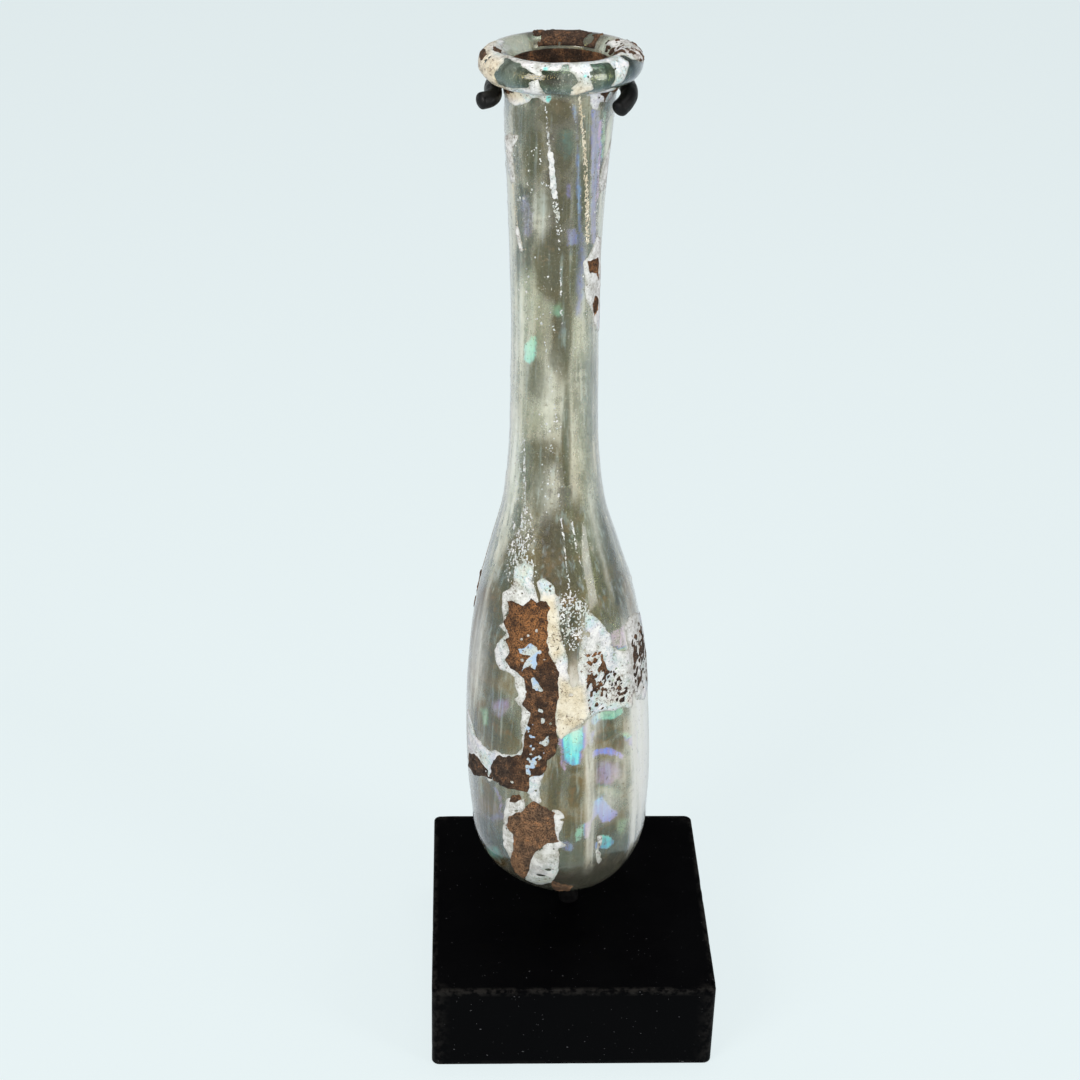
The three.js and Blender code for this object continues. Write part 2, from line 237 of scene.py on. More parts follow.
# Threads of crust along scratches: (half width in mm, share covered, warm tone, route)
THREADS = [
    (0.17, 0.6, 0, [(-17, 148.8), (-15.5, 146.5), (-14, 144.2), (-11.5, 141.4)]),
    (0.42, 1, 0, [(-10.2, 141.2), (-7, 137), (-4.6, 134.4)]),
    (0.45, 0.85, 0, [(-4.6, 134.4), (-3, 132.6), (-1.5, 131)]),
    (0.34, 0.5, 0, [(-1.5, 131), (1, 128.2)]),
    (0.26, 0.95, 0, [(-18, 136.5), (-12, 136), (-7, 135.8)]),
    (0.16, 0.4, 0, [(1, 128.2), (4, 122), (6, 113)]),
    (0.14, 0.3, 0, [(-21, 114), (-9.5, 105.5), (0.5, 96.5)]),
    (0.24, 1.3, 1, [(16.5, 150.2), (21.5, 145.5), (27, 141)]),
    (0.34, 1.3, 1, [(27, 141), (31.5, 136.8), (35.5, 132.2), (39, 127)]),
    (0.42, 0.45, 1, [(24, 143), (31.5, 136.8), (35.5, 132.2), (40, 126)]),
    (0.2, 0.6, 0, [(5, 79.2), (8, 74.2), (9.5, 66)]),
    (0.2, 0.6, 0, [(18, 78.2), (20, 72.5), (23.5, 68.2)]),
    (0.15, 0.7, 1, [(-57.5, 132), (-54.5, 128), (-45.5, 124.8)]),
    (0.14, 0.5, 1, [(-78, 140.2), (-62, 135.8), (-58, 130)]),
    (0.14, 0.4, 0, [(48, 146), (51, 134), (58, 122)]),
    (0.22, 0.8, 0, [(-44, 92), (-40, 84), (-36, 78)]),
]
# The crust's front and back pieces meet at this angle
CRUST_TURN = 104
# Small holes in the crust: (angle, run, half width, half height in mm)
CRUST_HOLES = [
    (-15, 10.2, 0.9, 0.35), (-9.5, 12, 0.6, 0.35), (-77, 154.6, 0.5, 0.4), (-70, 157.6, 0.35, 0.3),
]
# Turquoise glints on the crust: (angle, run, radius in mm)
GLINTS = [
    (-14, 157.6, 0.4), (-11.5, 160, 0.35), (-13.8, 149.9, 0.5), (-26, 156.8, 0.25), (14, 156.4, 0.25),
]
# Thin iridescent films: (phase at the lower end, phase at the upper end, strength, softness in mm,
# outline)
FILMS = [
    (0.42, 0.58, 1, 0.25, [(2, 40.5), (8, 41.2), (13.5, 42.5), (13.5, 39.5), (12, 34.5), (7.5, 34.2),
        (3.5, 34.8), (1.5, 35.8), (0.5, 38.5)]),
    (0.14, 0.14, 0.8, 0.4, [(-1, 40.2), (2, 40.5), (0.5, 38.5), (1.5, 35.8), (3.5, 34.5), (1.5, 33),
        (-0.5, 34.8)]),
    (0.12, 0.14, 0.7, 0.4, [(13.5, 42.5), (16, 43.5), (16.5, 41), (15, 38), (12.5, 34.5), (12, 34.5),
        (13.5, 39.5)]),
    (0.34, 0.42, 0.7, 0.4, [(18, 43.5), (24.5, 44), (25, 42.5), (20.5, 41.8), (18.5, 42.5)]),
    (0.56, 0.62, 0.7, 0.4, [(24.5, 44), (34.5, 44), (44, 43.5), (42.5, 42), (37, 41.5), (31.5, 42),
        (25, 42.5)]),
    (0.24, 0.24, 0.7, 0.4, [(18, 41), (22.5, 40.8), (21, 39.5), (19.5, 38), (18, 38.2)]),
    (0.18, 0.24, 1, 0.3, [(20, 35.8), (21, 36.8), (26.5, 36.8), (33.5, 36), (42.5, 33.8), (42, 33),
        (35, 34.5), (28, 35.5), (20.5, 35.2)]),
    (0.16, 0.16, 0.6, 0.5, [(43, 37.2), (50, 36.8), (51.5, 33.8), (46, 35.5)]),
    (0.62, 0.62, 0.6, 0.5, [(39.5, 38.8), (45.5, 38.2), (49.5, 36.8), (43, 37.2)]),
    (0.18, 0.38, 0.9, 0.4, [(20, 26.5), (26, 26.8), (29.5, 25.5), (33, 23.8), (38.5, 21.8), (33.5, 20.8),
        (28, 21), (22.5, 23.2), (18.5, 22.2), (18, 23.8)]),
    (0.6, 0.6, 0.7, 0.4, [(8.5, 20.8), (12.5, 22.2), (13, 20.5), (10.5, 18.8), (7, 18.2)]),
    (0.1, 0.14, 0.7, 0.4, [(12.5, 22.2), (18, 23), (18.5, 20.5), (16, 19.2), (13, 19)]),
    (0.28, 0.28, 0.6, 0.5, [(-1.5, 18.5), (3, 19), (7, 18), (6.5, 16.2), (2.5, 16.5), (-1, 17.5)]),
    (0.4, 0.54, 0.9, 0.4, [(23, 18.2), (26.5, 18.2), (31, 17.5), (36.5, 16), (35.5, 15), (29.5, 14.8),
        (25, 15.2)]),
    (0.28, 0.3, 0.8, 0.4, [(20.5, 17.2), (24, 17.2), (25, 15.2), (21.5, 15.2)]),
    (0.66, 0.66, 0.5, 1.2, [(39, 20.8), (46.5, 19.8), (45, 17.5), (40, 16.5), (36.5, 19.2)]),
    (0.03, 0.06, 0.6, 1, [(53.5, 38.5), (64.5, 37.2), (66.5, 32.8), (62.5, 27.8), (55, 32)]),
    (0.66, 0.66, 0.4, 1, [(-60, 41.5), (-51.5, 42.5), (-51.5, 39), (-57, 38)]),
    (0.12, 0.14, 0.4, 1, [(-48.5, 44.5), (-34.5, 46.2), (-33, 43.8), (-40.5, 42), (-47, 42.5)]),
    (0.14, 0.16, 0.6, 0.4, [(-54, 27), (-46, 27), (-40, 25.8), (-40, 22.5), (-43.5, 21.2), (-42, 25),
        (-47, 26.5)]),
    (0.22, 0.26, 0.35, 0.8, [(-58.5, 19), (-42, 21.8), (-36.5, 25.2), (-33, 24.8), (-39, 20.8),
        (-50.5, 19)]),
    (0.56, 0.56, 0.35, 1.2, [(-67.5, 9.8), (-47.5, 14), (-42, 12.2), (-60.5, 9.2)]),
    (0.3, 0.3, 0.5, 0.5, [(10, 148.8), (14, 143.5), (16.5, 139.5), (23, 133), (29, 126), (35.5, 125.8),
        (28, 133), (20, 139.2), (17, 143.5), (14, 148.8)]),
    (0.18, 0.24, 0.55, 0.4, [(30.5, 147.8), (33, 143), (36.5, 137), (41.5, 131.5), (45.5, 125.5),
        (57.5, 125), (52.5, 131.2), (49, 136.5), (45, 142.8), (41, 147.5)]),
    (0.07, 0.09, 0.85, 0.3, [(42.5, 145.8), (46.5, 140.8), (48, 135.5), (47, 132.5), (53, 132.2),
        (54.5, 135.2), (52.5, 140.5), (47, 145.8)]),
    (0.66, 0.66, 0.6, 0.3, [(46.5, 147.5), (51, 142.5), (50.5, 139.8), (56, 139.5), (56.5, 142.2),
        (52, 147.2)]),
    (0.78, 0.8, 0.6, 0.3, [(62, 146.2), (59.5, 142.2), (61.5, 137.8), (73.5, 137.2), (70, 141.8),
        (71, 145.8)]),
    (0.2, 0.26, 0.5, 0.8, [(-47.5, 134.2), (-36.5, 134.2), (-31.5, 131), (-31, 127.2), (-45, 127.2),
        (-50, 131.5)]),
    (0.27, 0.27, 0.55, 0.5, [(11.5, 128.8), (23, 128.8), (27.5, 126), (13, 126.2)]),
    (0.24, 0.24, 0.5, 0.5, [(8.5, 136.5), (14.5, 136.2), (15.5, 133.8), (11, 134.2)]),
    (0.5, 0.5, 0.13, 1.5, [(-6, 145.5), (13.5, 146), (16.5, 141), (4.5, 140.2), (-6.5, 142)]),
    (0.1, 0.12, 0.42, 1.2, [(22, 34), (29.5, 34.2), (39, 32.2), (40, 29.5), (33, 28.2), (22.5, 29.8)]),
    (0.74, 0.76, 0.3, 1, [(24.5, 29.5), (33, 28), (41, 26.8), (40, 25), (28.5, 26.8), (22.5, 27.5)]),
    (0.8, 0.9, 0.4, 3, [(-90, 110), (-60.6, 108), (-57, 84), (-63.5, 66), (-90, 62)]),
    (0.6, 0.8, 0.5, 0.5, [(31.6, 57.6), (53.4, 55), (52.4, 44), (41.2, 44), (31.5, 45), (27.5, 50)]),
    (0.95, 0.8, 0.5, 1.5, [(54.4, 42), (96, 42), (96, 18), (64, 20), (58, 30)]),
    (0.02, 0.08, 0.7, 0.4, [(39.4, 58), (53.5, 58), (51.5, 54), (37.4, 55.4)]),
    (0.22, 0.3, 0.5, 1.2, [(25, 128), (36, 127), (39, 119), (36, 113), (27, 114)]),
    (0.55, 0.64, 0.8, 0.4, [(-33, 110.4), (-25.1, 110.4), (-25.3, 107.3), (-35.4, 105.1), (-47.3, 105.3),
        (-46.1, 108)]),
    (0.6, 0.66, 0.35, 0.8, [(-10.7, 116.3), (5.3, 116.6), (7.1, 114.2), (-8.9, 114.2)]),
]
# Highlights and reflections painted along the glass as pale streaks: (angle, lowest run, highest run,
# half width in mm, strength)
HIGHLIGHT_STREAKS = [
    (18, 12, 60, 1.2, 1), (53, 10, 58, 1.3, 1), (64, 16, 60, 0.5, 0.6), (-66, 40, 100, 0.7, 0.5),
    (-74, 20, 60, 0.5, 0.5), (-56, 68, 84, 0.4, 0.35), (-11, 92, 118, 0.5, 0.15), (22, 84, 106, 0.6, 0.2),
    (60, 84, 146, 0.5, 0.5), (-50, 90, 126, 0.4, 0.35), (-62, 84, 146, 0.5, 0.5),
    (-76, 66, 150, 0.5, 0.5), (74, 60, 150, 0.5, 0.5), (46, 62, 84, 0.6, 0.35),
]
# Dirt on the inside, which also shows as tarnish on the outside, as soft patches: (darkness, angle, run,
# half width in degrees, half height in mm)
DIRT = [
    (0.95, 30, 41.5, 10, 1.4), (1.15, 30, 39, 11, 1), (0.95, 20, 38.5, 3, 1.2), (0.8, 40, 36.5, 6, 1.7),
    (0.75, 32, 31.8, 9, 1.7), (0.7, 22, 32.8, 2, 1.9), (0.75, 40, 31, 3, 2.3), (0.75, 27, 27.2, 8, 0.8),
    (0.85, -4, 30.8, 5, 9.2), (1.15, 8, 33.5, 4, 0.7), (0.85, 8, 29, 5, 3.8), (0.85, 31, 19, 9, 1.2),
    (0.85, 4, 21.8, 6, 2.5), (0.8, -46, 39.5, 22, 5.4), (1, -33, 40, 5, 2.5), (0.55, -52, 23.5, 14, 6.2),
    (1.1, -60, 16, 12, 2.9), (1.1, -52, 13, 13, 3.8), (0.9, -46, 45.2, 13, 2.3), (0.5, 28, 29.2, 11, 1.2),
    (0.7, -30, 141.2, 15, 5.4), (0.85, -6, 147.5, 20, 2.5), (0.85, 4, 142, 12, 4.6),
    (0.85, -18, 133.2, 11, 2.5), (0.8, 6, 133.2, 10, 5), (0.8, 26, 137.2, 10, 11.7),
    (0.8, -2, 128, 11, 1.9), (0.5, -46, 145.8, 17, 3.3), (1, -6, 123, 24, 6), (1, 8, 112, 13, 9),
    (0.8, -2, 107, 9, 2.5), (0.55, -14, 89.8, 28, 3.2), (0.75, -20, 84, 10, 6), (0.75, 14, 92.6, 7, 10),
    (1.1, 14, 72, 36, 9), (1.05, -6, 68, 24, 6), (1.3, 11, 61, 14, 7), (0.9, -40, 66, 18, 9),
    (0.95, 42, 64, 28, 5), (0.8, 52, 72, 16, 8), (0.6, -28, 103, 20, 5), (0.6, 24, 122, 14, 8),
    (0.8, -58, 56, 24, 12), (0.5, 64, 56, 14, 12),
]
# Frosted patches on the outside, the same way
FROST = [
    (1.1, 64, 34, 17, 22), (0.5, 30, 25, 12, 4), (0.45, 40, 31, 8, 4), (0.5, -66, 52, 10, 8),
    (0.4, -8, 99.8, 22, 8), (0.4, -11, 83.4, 16, 4.5), (0.6, -60, 86, 14, 12), (0.5, -21, 131.6, 11, 4.5),
    (0.25, 34, 102, 20, 18), (0.4, 46, 78, 12, 8), (0.5, 72, 130, 14, 22), (0.5, -76, 130, 12, 24),
    (0.9, 9, 47, 5, 7), (0.4, -50, 110, 18, 10), (0.7, 24, 48, 4, 8),
]


def srgb(red, green, blue):
    """Linear colour of an 8-bit screen colour."""
    def linear(value):
        value /= 255
        return value / 12.92 if value <= 0.04045 else ((value + 0.055) / 1.055) ** 2.4
    return (linear(red), linear(green), linear(blue), 1.0)


def smooth_step(low, high, value):
    share = np.clip((value - low) / (high - low), 0, 1)
    return share * share * (3 - 2 * share)


def lattice(x, y, z, seed):
    """Repeatable random values in -1..1 at whole-number places."""
    word = (x * 374761393 + y * 668265263 + z * 1442695041 + seed * 1274126177) & 0xFFFFFFFF
    word = ((word ^ (word >> 13)) * 1103515245) & 0xFFFFFFFF
    return ((word ^ (word >> 16)) & 0xFFFF) / 32767.5 - 1


def noise(points, cell, seed):
    """Smooth random field with features of about one cell, in -1..1."""
    place = points / cell
    corner = np.floor(place).astype(np.int64)
    part = place - corner
    part = part * part * (3 - 2 * part)
    total = np.zeros(len(points))
    for dx in (0, 1):
        for dy in (0, 1):
            for dz in (0, 1):
                weight = (
                    (part[:, 0] if dx else 1 - part[:, 0])
                    * (part[:, 1] if dy else 1 - part[:, 1])
                    * (part[:, 2] if dz else 1 - part[:, 2])
                )
                total += weight * lattice(corner[:, 0] + dx, corner[:, 1] + dy, corner[:, 2] + dz, seed)
    return total


def fractal(points, cell, octaves, seed):
    total = np.zeros(len(points))
    reach = 0
    for octave in range(octaves):
        size = 0.5 ** octave
        total += size * noise(points, cell * size, seed + octave)
        reach += size
    return total / reach


def through(stations, height):
    """Smooth curve through (height, value) stations, by cubic Hermite spans."""
    heights, values = stations[:, 0], stations[:, 1]
    last = len(stations) - 1
    low = np.clip(np.searchsorted(heights, height) - 1, 0, last - 1)
    high = low + 1
    before = np.maximum(low - 1, 0)
    after = np.minimum(high + 1, last)
    slope_low = (values[high] - values[before]) / (heights[high] - heights[before])
    slope_high = (values[after] - values[low]) / (heights[after] - heights[low])
    span = heights[high] - heights[low]
    t = np.clip((height - heights[low]) / span, 0, 1)
    return (
        (2 * t**3 - 3 * t**2 + 1) * values[low]
        + (t**3 - 2 * t**2 + t) * span * slope_low
        + (3 * t**2 - 2 * t**3) * values[high]
        + (t**3 - t**2) * span * slope_high
    )


def bow(height):
    """Sideways shift of the blown axis, with the lopsided tip of the foot."""
    foot = np.maximum(0, 1 - height / FOOT_TIP_REACH)
    return FOOT_TIP_SHIFT * foot**2 + through(AXIS, height)


def outer_profile(run):
    """Radius and height on the outside of the flask."""
    dome = DOME_RADIUS * np.sqrt(np.clip(1 - ((DOME_HEIGHT - run) / DOME_HEIGHT) ** 2, 0, 1))
    radius = np.where(run < DOME_HEIGHT, dome, through(OUTLINE, run))
    turn = np.radians(RIM_START + (run - NECK_TOP) / RIM_RUN * RIM_SWEEP)
    on_rim = run > NECK_TOP
    radius = np.where(on_rim, RIM_RADIUS + RIM_HALF_WIDTH * np.cos(turn), radius)
    height = np.where(on_rim, RIM_CENTRE + RIM_HALF_HEIGHT * np.sin(turn), run)
    return radius, height


def inner_profile(height):
    """Radius of the hollow at a height."""
    share = smooth_step(BODY_WALL_TOP, NECK_WALL_START, height)
    radius = through(OUTLINE, height) - (BODY_WALL + (NECK_WALL - BODY_WALL) * share)
    depth = np.clip((HOLLOW_DOME_TOP - height) / (HOLLOW_DOME_TOP - FOOT_WALL), 0, 1)
    return np.where(height < HOLLOW_DOME_TOP, radius * np.sqrt(1 - depth**2), radius)


def turned(angle, radius, height):
    angle = np.radians(angle)
    return np.stack([bow(height) + radius * np.sin(angle), -radius * np.cos(angle), height], -1)


def skin(angle, run):
    """Places on the smooth outside, for noise that runs evenly over the flask."""
    return turned(angle, *outer_profile(run))


def angle_gap(angle, centre):
    return (angle - centre + 180) % 360 - 180


def stretch(low, high, ease, run):
    """1 between two runs and 0 beyond them, with soft ends."""
    return smooth_step(low - ease, low + ease, run) * (1 - smooth_step(high - ease, high + ease, run))


def relief(angle, run):
    """Ribs, creases and the uneven skin of blown glass, in millimetres outward."""
    total = np.zeros(np.shape(run))
    for centre, low, high, width, height in RIBS:
        shape = np.exp(-((angle_gap(angle, centre) / width) ** 2))
        total = total + height * stretch(low, high, 6, run) * shape
    place = skin(angle, run)
    total = total + 0.08 * fractal(place, 17, 2, 5)
    total = total + 0.04 * noise(place * (1, 1, 0.12), 1.6, 9)
    return total * smooth_step(0, 6, run)


def outer_point(angle, run, lift=0.0):
    """A place on the outside of the flask, lifted along the surface's normal."""
    radius, height = outer_profile(run)
    step = 0.05
    radius_on, height_on = outer_profile(run + step)
    along = np.stack([radius_on - radius, height_on - height], -1)
    along /= np.linalg.norm(along, axis=-1, keepdims=True) + 1e-9
    raise_by = lift + relief(angle, run)
    return turned(angle, radius + along[:, 1] * raise_by, height - along[:, 0] * raise_by)


def placed(points):
    """From the flask's own axis to the stand's frame."""
    x, y, z = points[:, 0], points[:, 1], points[:, 2]
    cos, sin = math.cos(LEAN_BACK), math.sin(LEAN_BACK)
    y, z = y * cos + z * sin, z * cos - y * sin
    cos, sin = math.cos(LEAN_LEFT), math.sin(LEAN_LEFT)
    x, z = x * cos - z * sin, z * cos + x * sin
    return np.stack([x, y, z], -1) + FLASK_FOOT


def unrolled(outline, angle):
    """An outline's corners, and the x of places at the angles, unrolled to millimetres."""
    corners = np.array(outline, float)
    middle, mean_run = corners.mean(0)
    scale = math.radians(1) * float(outer_profile(np.array([mean_run]))[0][0])
    corners[:, 0] = (corners[:, 0] - middle) * scale
    return corners, angle_gap(angle, middle) * scale


def segment_distance(x, y, x0, y0, x1, y1):
    """Distance, squared, of places from a straight line between two points."""
    length = (x1 - x0) ** 2 + (y1 - y0) ** 2
    share = np.clip(((x - x0) * (x1 - x0) + (y - y0) * (y1 - y0)) / length, 0, 1)
    return (x0 + share * (x1 - x0) - x) ** 2 + (y0 + share * (y1 - y0) - y) ** 2


def inside_distance(outline, angle, run):
    """Millimetres inside an outline on the unrolled surface, negative outside it."""
    corners, x_all = unrolled(outline, angle)
    result = np.full(len(run), -FAR)
    (low_x, low_y), (high_x, high_y) = corners.min(0) - FAR, corners.max(0) + FAR
    near = (x_all > low_x) & (x_all < high_x) & (run > low_y) & (run < high_y)
    x, y = x_all[near], run[near]
    best = np.full(len(x), FAR**2)
    within = np.zeros(len(x), bool)
    for (x0, y0), (x1, y1) in zip(np.roll(corners, 1, 0), corners):
        best = np.minimum(best, segment_distance(x, y, x0, y0, x1, y1))
        if y0 != y1:
            crosses = (y0 > y) != (y1 > y)
            within ^= crosses & (x < x0 + (y - y0) / (y1 - y0) * (x1 - x0))
    result[near] = np.where(within, np.sqrt(best), -np.sqrt(best))
    return result


def nearest(outlines, angle, run):
    result = np.full(len(run), -FAR)
    for outline in outlines:
        result = np.maximum(result, inside_distance(outline, angle, run))
    return result


def soft_patches(patches, angle, run):
    """The strongest of the soft oval patches at each place."""
    result = np.zeros(len(run))
    for amount, centre, middle, width, height in patches:
        off = np.hypot(angle_gap(angle, centre) / width, (run - middle) / height)
        result = np.maximum(result, amount * (1 - smooth_step(0.25, 1.55, off)))
    return result


def scatter(angle, run, cell, seed, cover, stretch=1.0):
    """Millimetres inside small grains of uneven size, strewn so that a share of the surface is covered.

    Each sector of the flask has its own grid, so that the grains don't shear where the radius changes."""
    radius = np.maximum(outer_profile(run)[0], SMALLEST_RADIUS)
    sector = np.round(angle / GRAIN_SECTOR)
    x = np.radians(angle - sector * GRAIN_SECTOR) * radius / cell + sector * 1000
    y = run / (cell * stretch)
    column, row = np.floor(x).astype(np.int64), np.floor(y).astype(np.int64)
    zero = np.zeros_like(row)
    best = np.full(len(run), -1.0)
    for dx in (-1, 0, 1):
        for dy in (-1, 0, 1):
            i, j = column + dx, row + dy
            centre_x = i + 0.5 + 0.45 * lattice(i, j, zero, seed)
            centre_y = j + 0.5 + 0.45 * lattice(i, j, zero + 1, seed)
            size = 0.36 + 0.22 * lattice(i, j, zero + 2, seed)
            kept = lattice(i, j, zero + 3, seed) < 2 * cover - 1
            best = np.maximum(best, np.where(kept, size - np.hypot(x - centre_x, y - centre_y), -1.0))
    ragged = 0.3 * noise(skin(angle, run), 0.7 * cell, seed + 1)
    return (best + ragged) * cell


def thread_distance(route, angle, run):
    """Millimetres from a line drawn on the surface, up to FAR."""
    corners, x = unrolled(route, angle)
    best = np.full(len(run), FAR**2)
    for (x0, y0), (x1, y1) in zip(corners[:-1], corners[1:]):
        best = np.minimum(best, segment_distance(x, run, x0, y0, x1, y1))
    return np.sqrt(best)


def warped(angle, run, seed):
    """Shifts places about on the surface, so straight outlines come out ragged."""
    place = skin(angle, run)
    across = 0.6 * fractal(place, 3.0, 4, seed)
    along = 0.6 * fractal(place, 3.0, 4, seed + 10)
    radius = np.maximum(outer_profile(run)[0], SMALLEST_RADIUS)
    return angle + np.degrees(across / radius), run + along


def make_mesh(name, points, faces, material, attributes=None, smooth=True):
    """A named object from points in millimetres and lists of triangles and quads."""
    mesh = bpy.data.meshes.new(name)
    loops = np.concatenate([np.asarray(f, np.int32).ravel() for f in faces])
    sizes = np.concatenate([np.full(len(f), np.shape(f)[1], np.int32) for f in faces])
    starts = np.concatenate([[0], np.cumsum(sizes)[:-1]]).astype(np.int32)
    mesh.vertices.add(len(points))
    mesh.vertices.foreach_set("co", (np.asarray(points) * MM).astype(np.float32).ravel())
    mesh.loops.add(len(loops))
    mesh.loops.foreach_set("vertex_index", loops)
    mesh.polygons.add(len(sizes))
    mesh.polygons.foreach_set("loop_start", starts)
    mesh.polygons.foreach_set("use_smooth", np.full(len(sizes), smooth))
    mesh.update(calc_edges=True)
    mesh.validate()
    for key, values in (attributes or {}).items():
        layer = mesh.attributes.new(key, "FLOAT", "POINT")
        layer.data.foreach_set("value", np.asarray(values, np.float32))
    mesh.materials.append(material)
    piece = bpy.data.objects.new(name, mesh)
    bpy.context.scene.collection.objects.link(piece)
    return piece


def ring_faces(rings, around):
    """Quads between consecutive closed rings of vertices."""
    ring = np.arange(rings - 1)[:, None] * around
    here = np.arange(around)[None, :]
    on = (here + 1) % around
    return np.stack([ring + here, ring + on, ring + around + on, ring + around + here], -1).reshape(-1, 4)


def fans(around, hubs, firsts):
    """Triangles from two hub vertices to the closed rings that start at firsts, below and then above."""
    here = np.arange(around)
    on = (here + 1) % around
    low, high = (np.full(around, hub) for hub in hubs)
    return np.concatenate([
        np.stack([low, firsts[0] + on, firsts[0] + here], -1),
        np.stack([high, firsts[1] + here, firsts[1] + on], -1),
    ])


class Value:
    """One node's output, which takes part in sums as a number does."""

    def __init__(self, nodes, socket):
        self.nodes = nodes
        self.socket = socket

    def __add__(self, other):
        return self.nodes.math("ADD", self, other)

    def __sub__(self, other):
        return self.nodes.math("SUBTRACT", self, other)

    def __rsub__(self, other):
        return self.nodes.math("SUBTRACT", other, self)

    def __mul__(self, other):
        return self.nodes.math("MULTIPLY", self, other)

    def __truediv__(self, other):
        return self.nodes.math("DIVIDE", self, other)

    def fraction(self):
        return self.nodes.math("FRACT", self)

    def spread(self, low, high, to_low=0.0, to_high=1.0):
        """Maps low..high smoothly to to_low..to_high."""
        settings = {"From Min": low, "From Max": high, "To Min": to_low, "To Max": to_high}
        return self.nodes.add("ShaderNodeMapRange", "Result", {"Value": self, **settings},
                              interpolation_type="SMOOTHSTEP")


class Nodes:
    """Builds one material's node tree."""

    def __init__(self, name):
        self.material = bpy.data.materials.new(name)
        self.material.use_nodes = True
        self.tree = self.material.node_tree
        self.shader = self.tree.nodes["Principled BSDF"]

    def feed(self, sockets, values):
        for key, value in values.items():
            if isinstance(value, Value):
                self.tree.links.new(value.socket, sockets[key])
            else:
                sockets[key].default_value = value

    def add(self, kind, output, inputs, **settings):
        """A node of a kind, set and fed, as the value of one of its outputs."""
        node = self.tree.nodes.new(kind)
        for key, value in settings.items():
            setattr(node, key, value)
        self.feed(node.inputs, inputs)
        return Value(self, node.outputs[output])

    def place(self, stretch=(1, 1, 1)):
        place = self.add("ShaderNodeTexCoord", "Object", {})
        return self.add("ShaderNodeMapping", "Vector", {"Vector": place, "Scale": stretch})

    def noise(self, size, detail=3.0, roughness=0.55, stretch=(1, 1, 1)):
        """Noise with features of about size millimetres."""
        inputs = {"Scale": 1 / (size * MM), "Detail": detail, "Roughness": roughness}
        return self.add("ShaderNodeTexNoise", "Fac", {"Vector": self.place(stretch), **inputs})

    def cells(self, size, feature="F1"):
        inputs = {"Vector": self.place(), "Scale": 1 / (size * MM)}
        return self.add("ShaderNodeTexVoronoi", "Distance", inputs, feature=feature)

    def attributes(self, *names):
        return [self.add("ShaderNodeAttribute", "Fac", {}, attribute_name=name) for name in names]

    def math(self, operation, first, second=0.0):
        return self.add("ShaderNodeMath", 0, {0: first, 1: second}, operation=operation)

    def mix(self, share, first, second):
        """The first colour where share is 0, the second where it is 1."""
        return self.add("ShaderNodeMix", 2, {0: share, 6: first, 7: second}, data_type="RGBA")

    def ramp(self, value, stops):
        result = self.add("ShaderNodeValToRGB", "Color", {"Fac": value})
        elements = result.socket.node.color_ramp.elements
        while len(elements) < len(stops):
            elements.new(0.5)
        for element, (position, colour) in zip(elements, stops):
            element.position = position
            element.color = srgb(*colour)
        return result

    def bump(self, height, distance, strength):
        inputs = {"Distance": distance * MM, "Strength": strength, "Height": height}
        return self.add("ShaderNodeBump", "Normal", inputs)

    def finish(self, **inputs):
        names = {key: key.replace("_", " ").title().replace("Ior", "IOR") for key in inputs}
        self.feed(self.shader.inputs, {names[key]: value for key, value in inputs.items()})
        return self.material


# Colours of a thin film as it thickens, and those of mother-of-pearl, each with its place on a ramp
INTERFERENCE = [
    (0.0, (232, 214, 224)), (0.1, (212, 178, 222)), (0.18, (160, 142, 220)), (0.28, (112, 128, 214)),
    (0.38, (96, 168, 226)), (0.47, (98, 214, 226)), (0.56, (136, 228, 208)), (0.66, (164, 220, 176)),
    (0.76, (216, 224, 184)), (0.86, (232, 224, 204)), (1.0, (226, 214, 220)),
]
PEARL = [
    (0.0, (226, 216, 222)), (0.25, (208, 206, 226)), (0.45, (196, 214, 230)), (0.62, (190, 224, 224)),
    (0.8, (222, 228, 214)), (1.0, (232, 222, 214)),
]


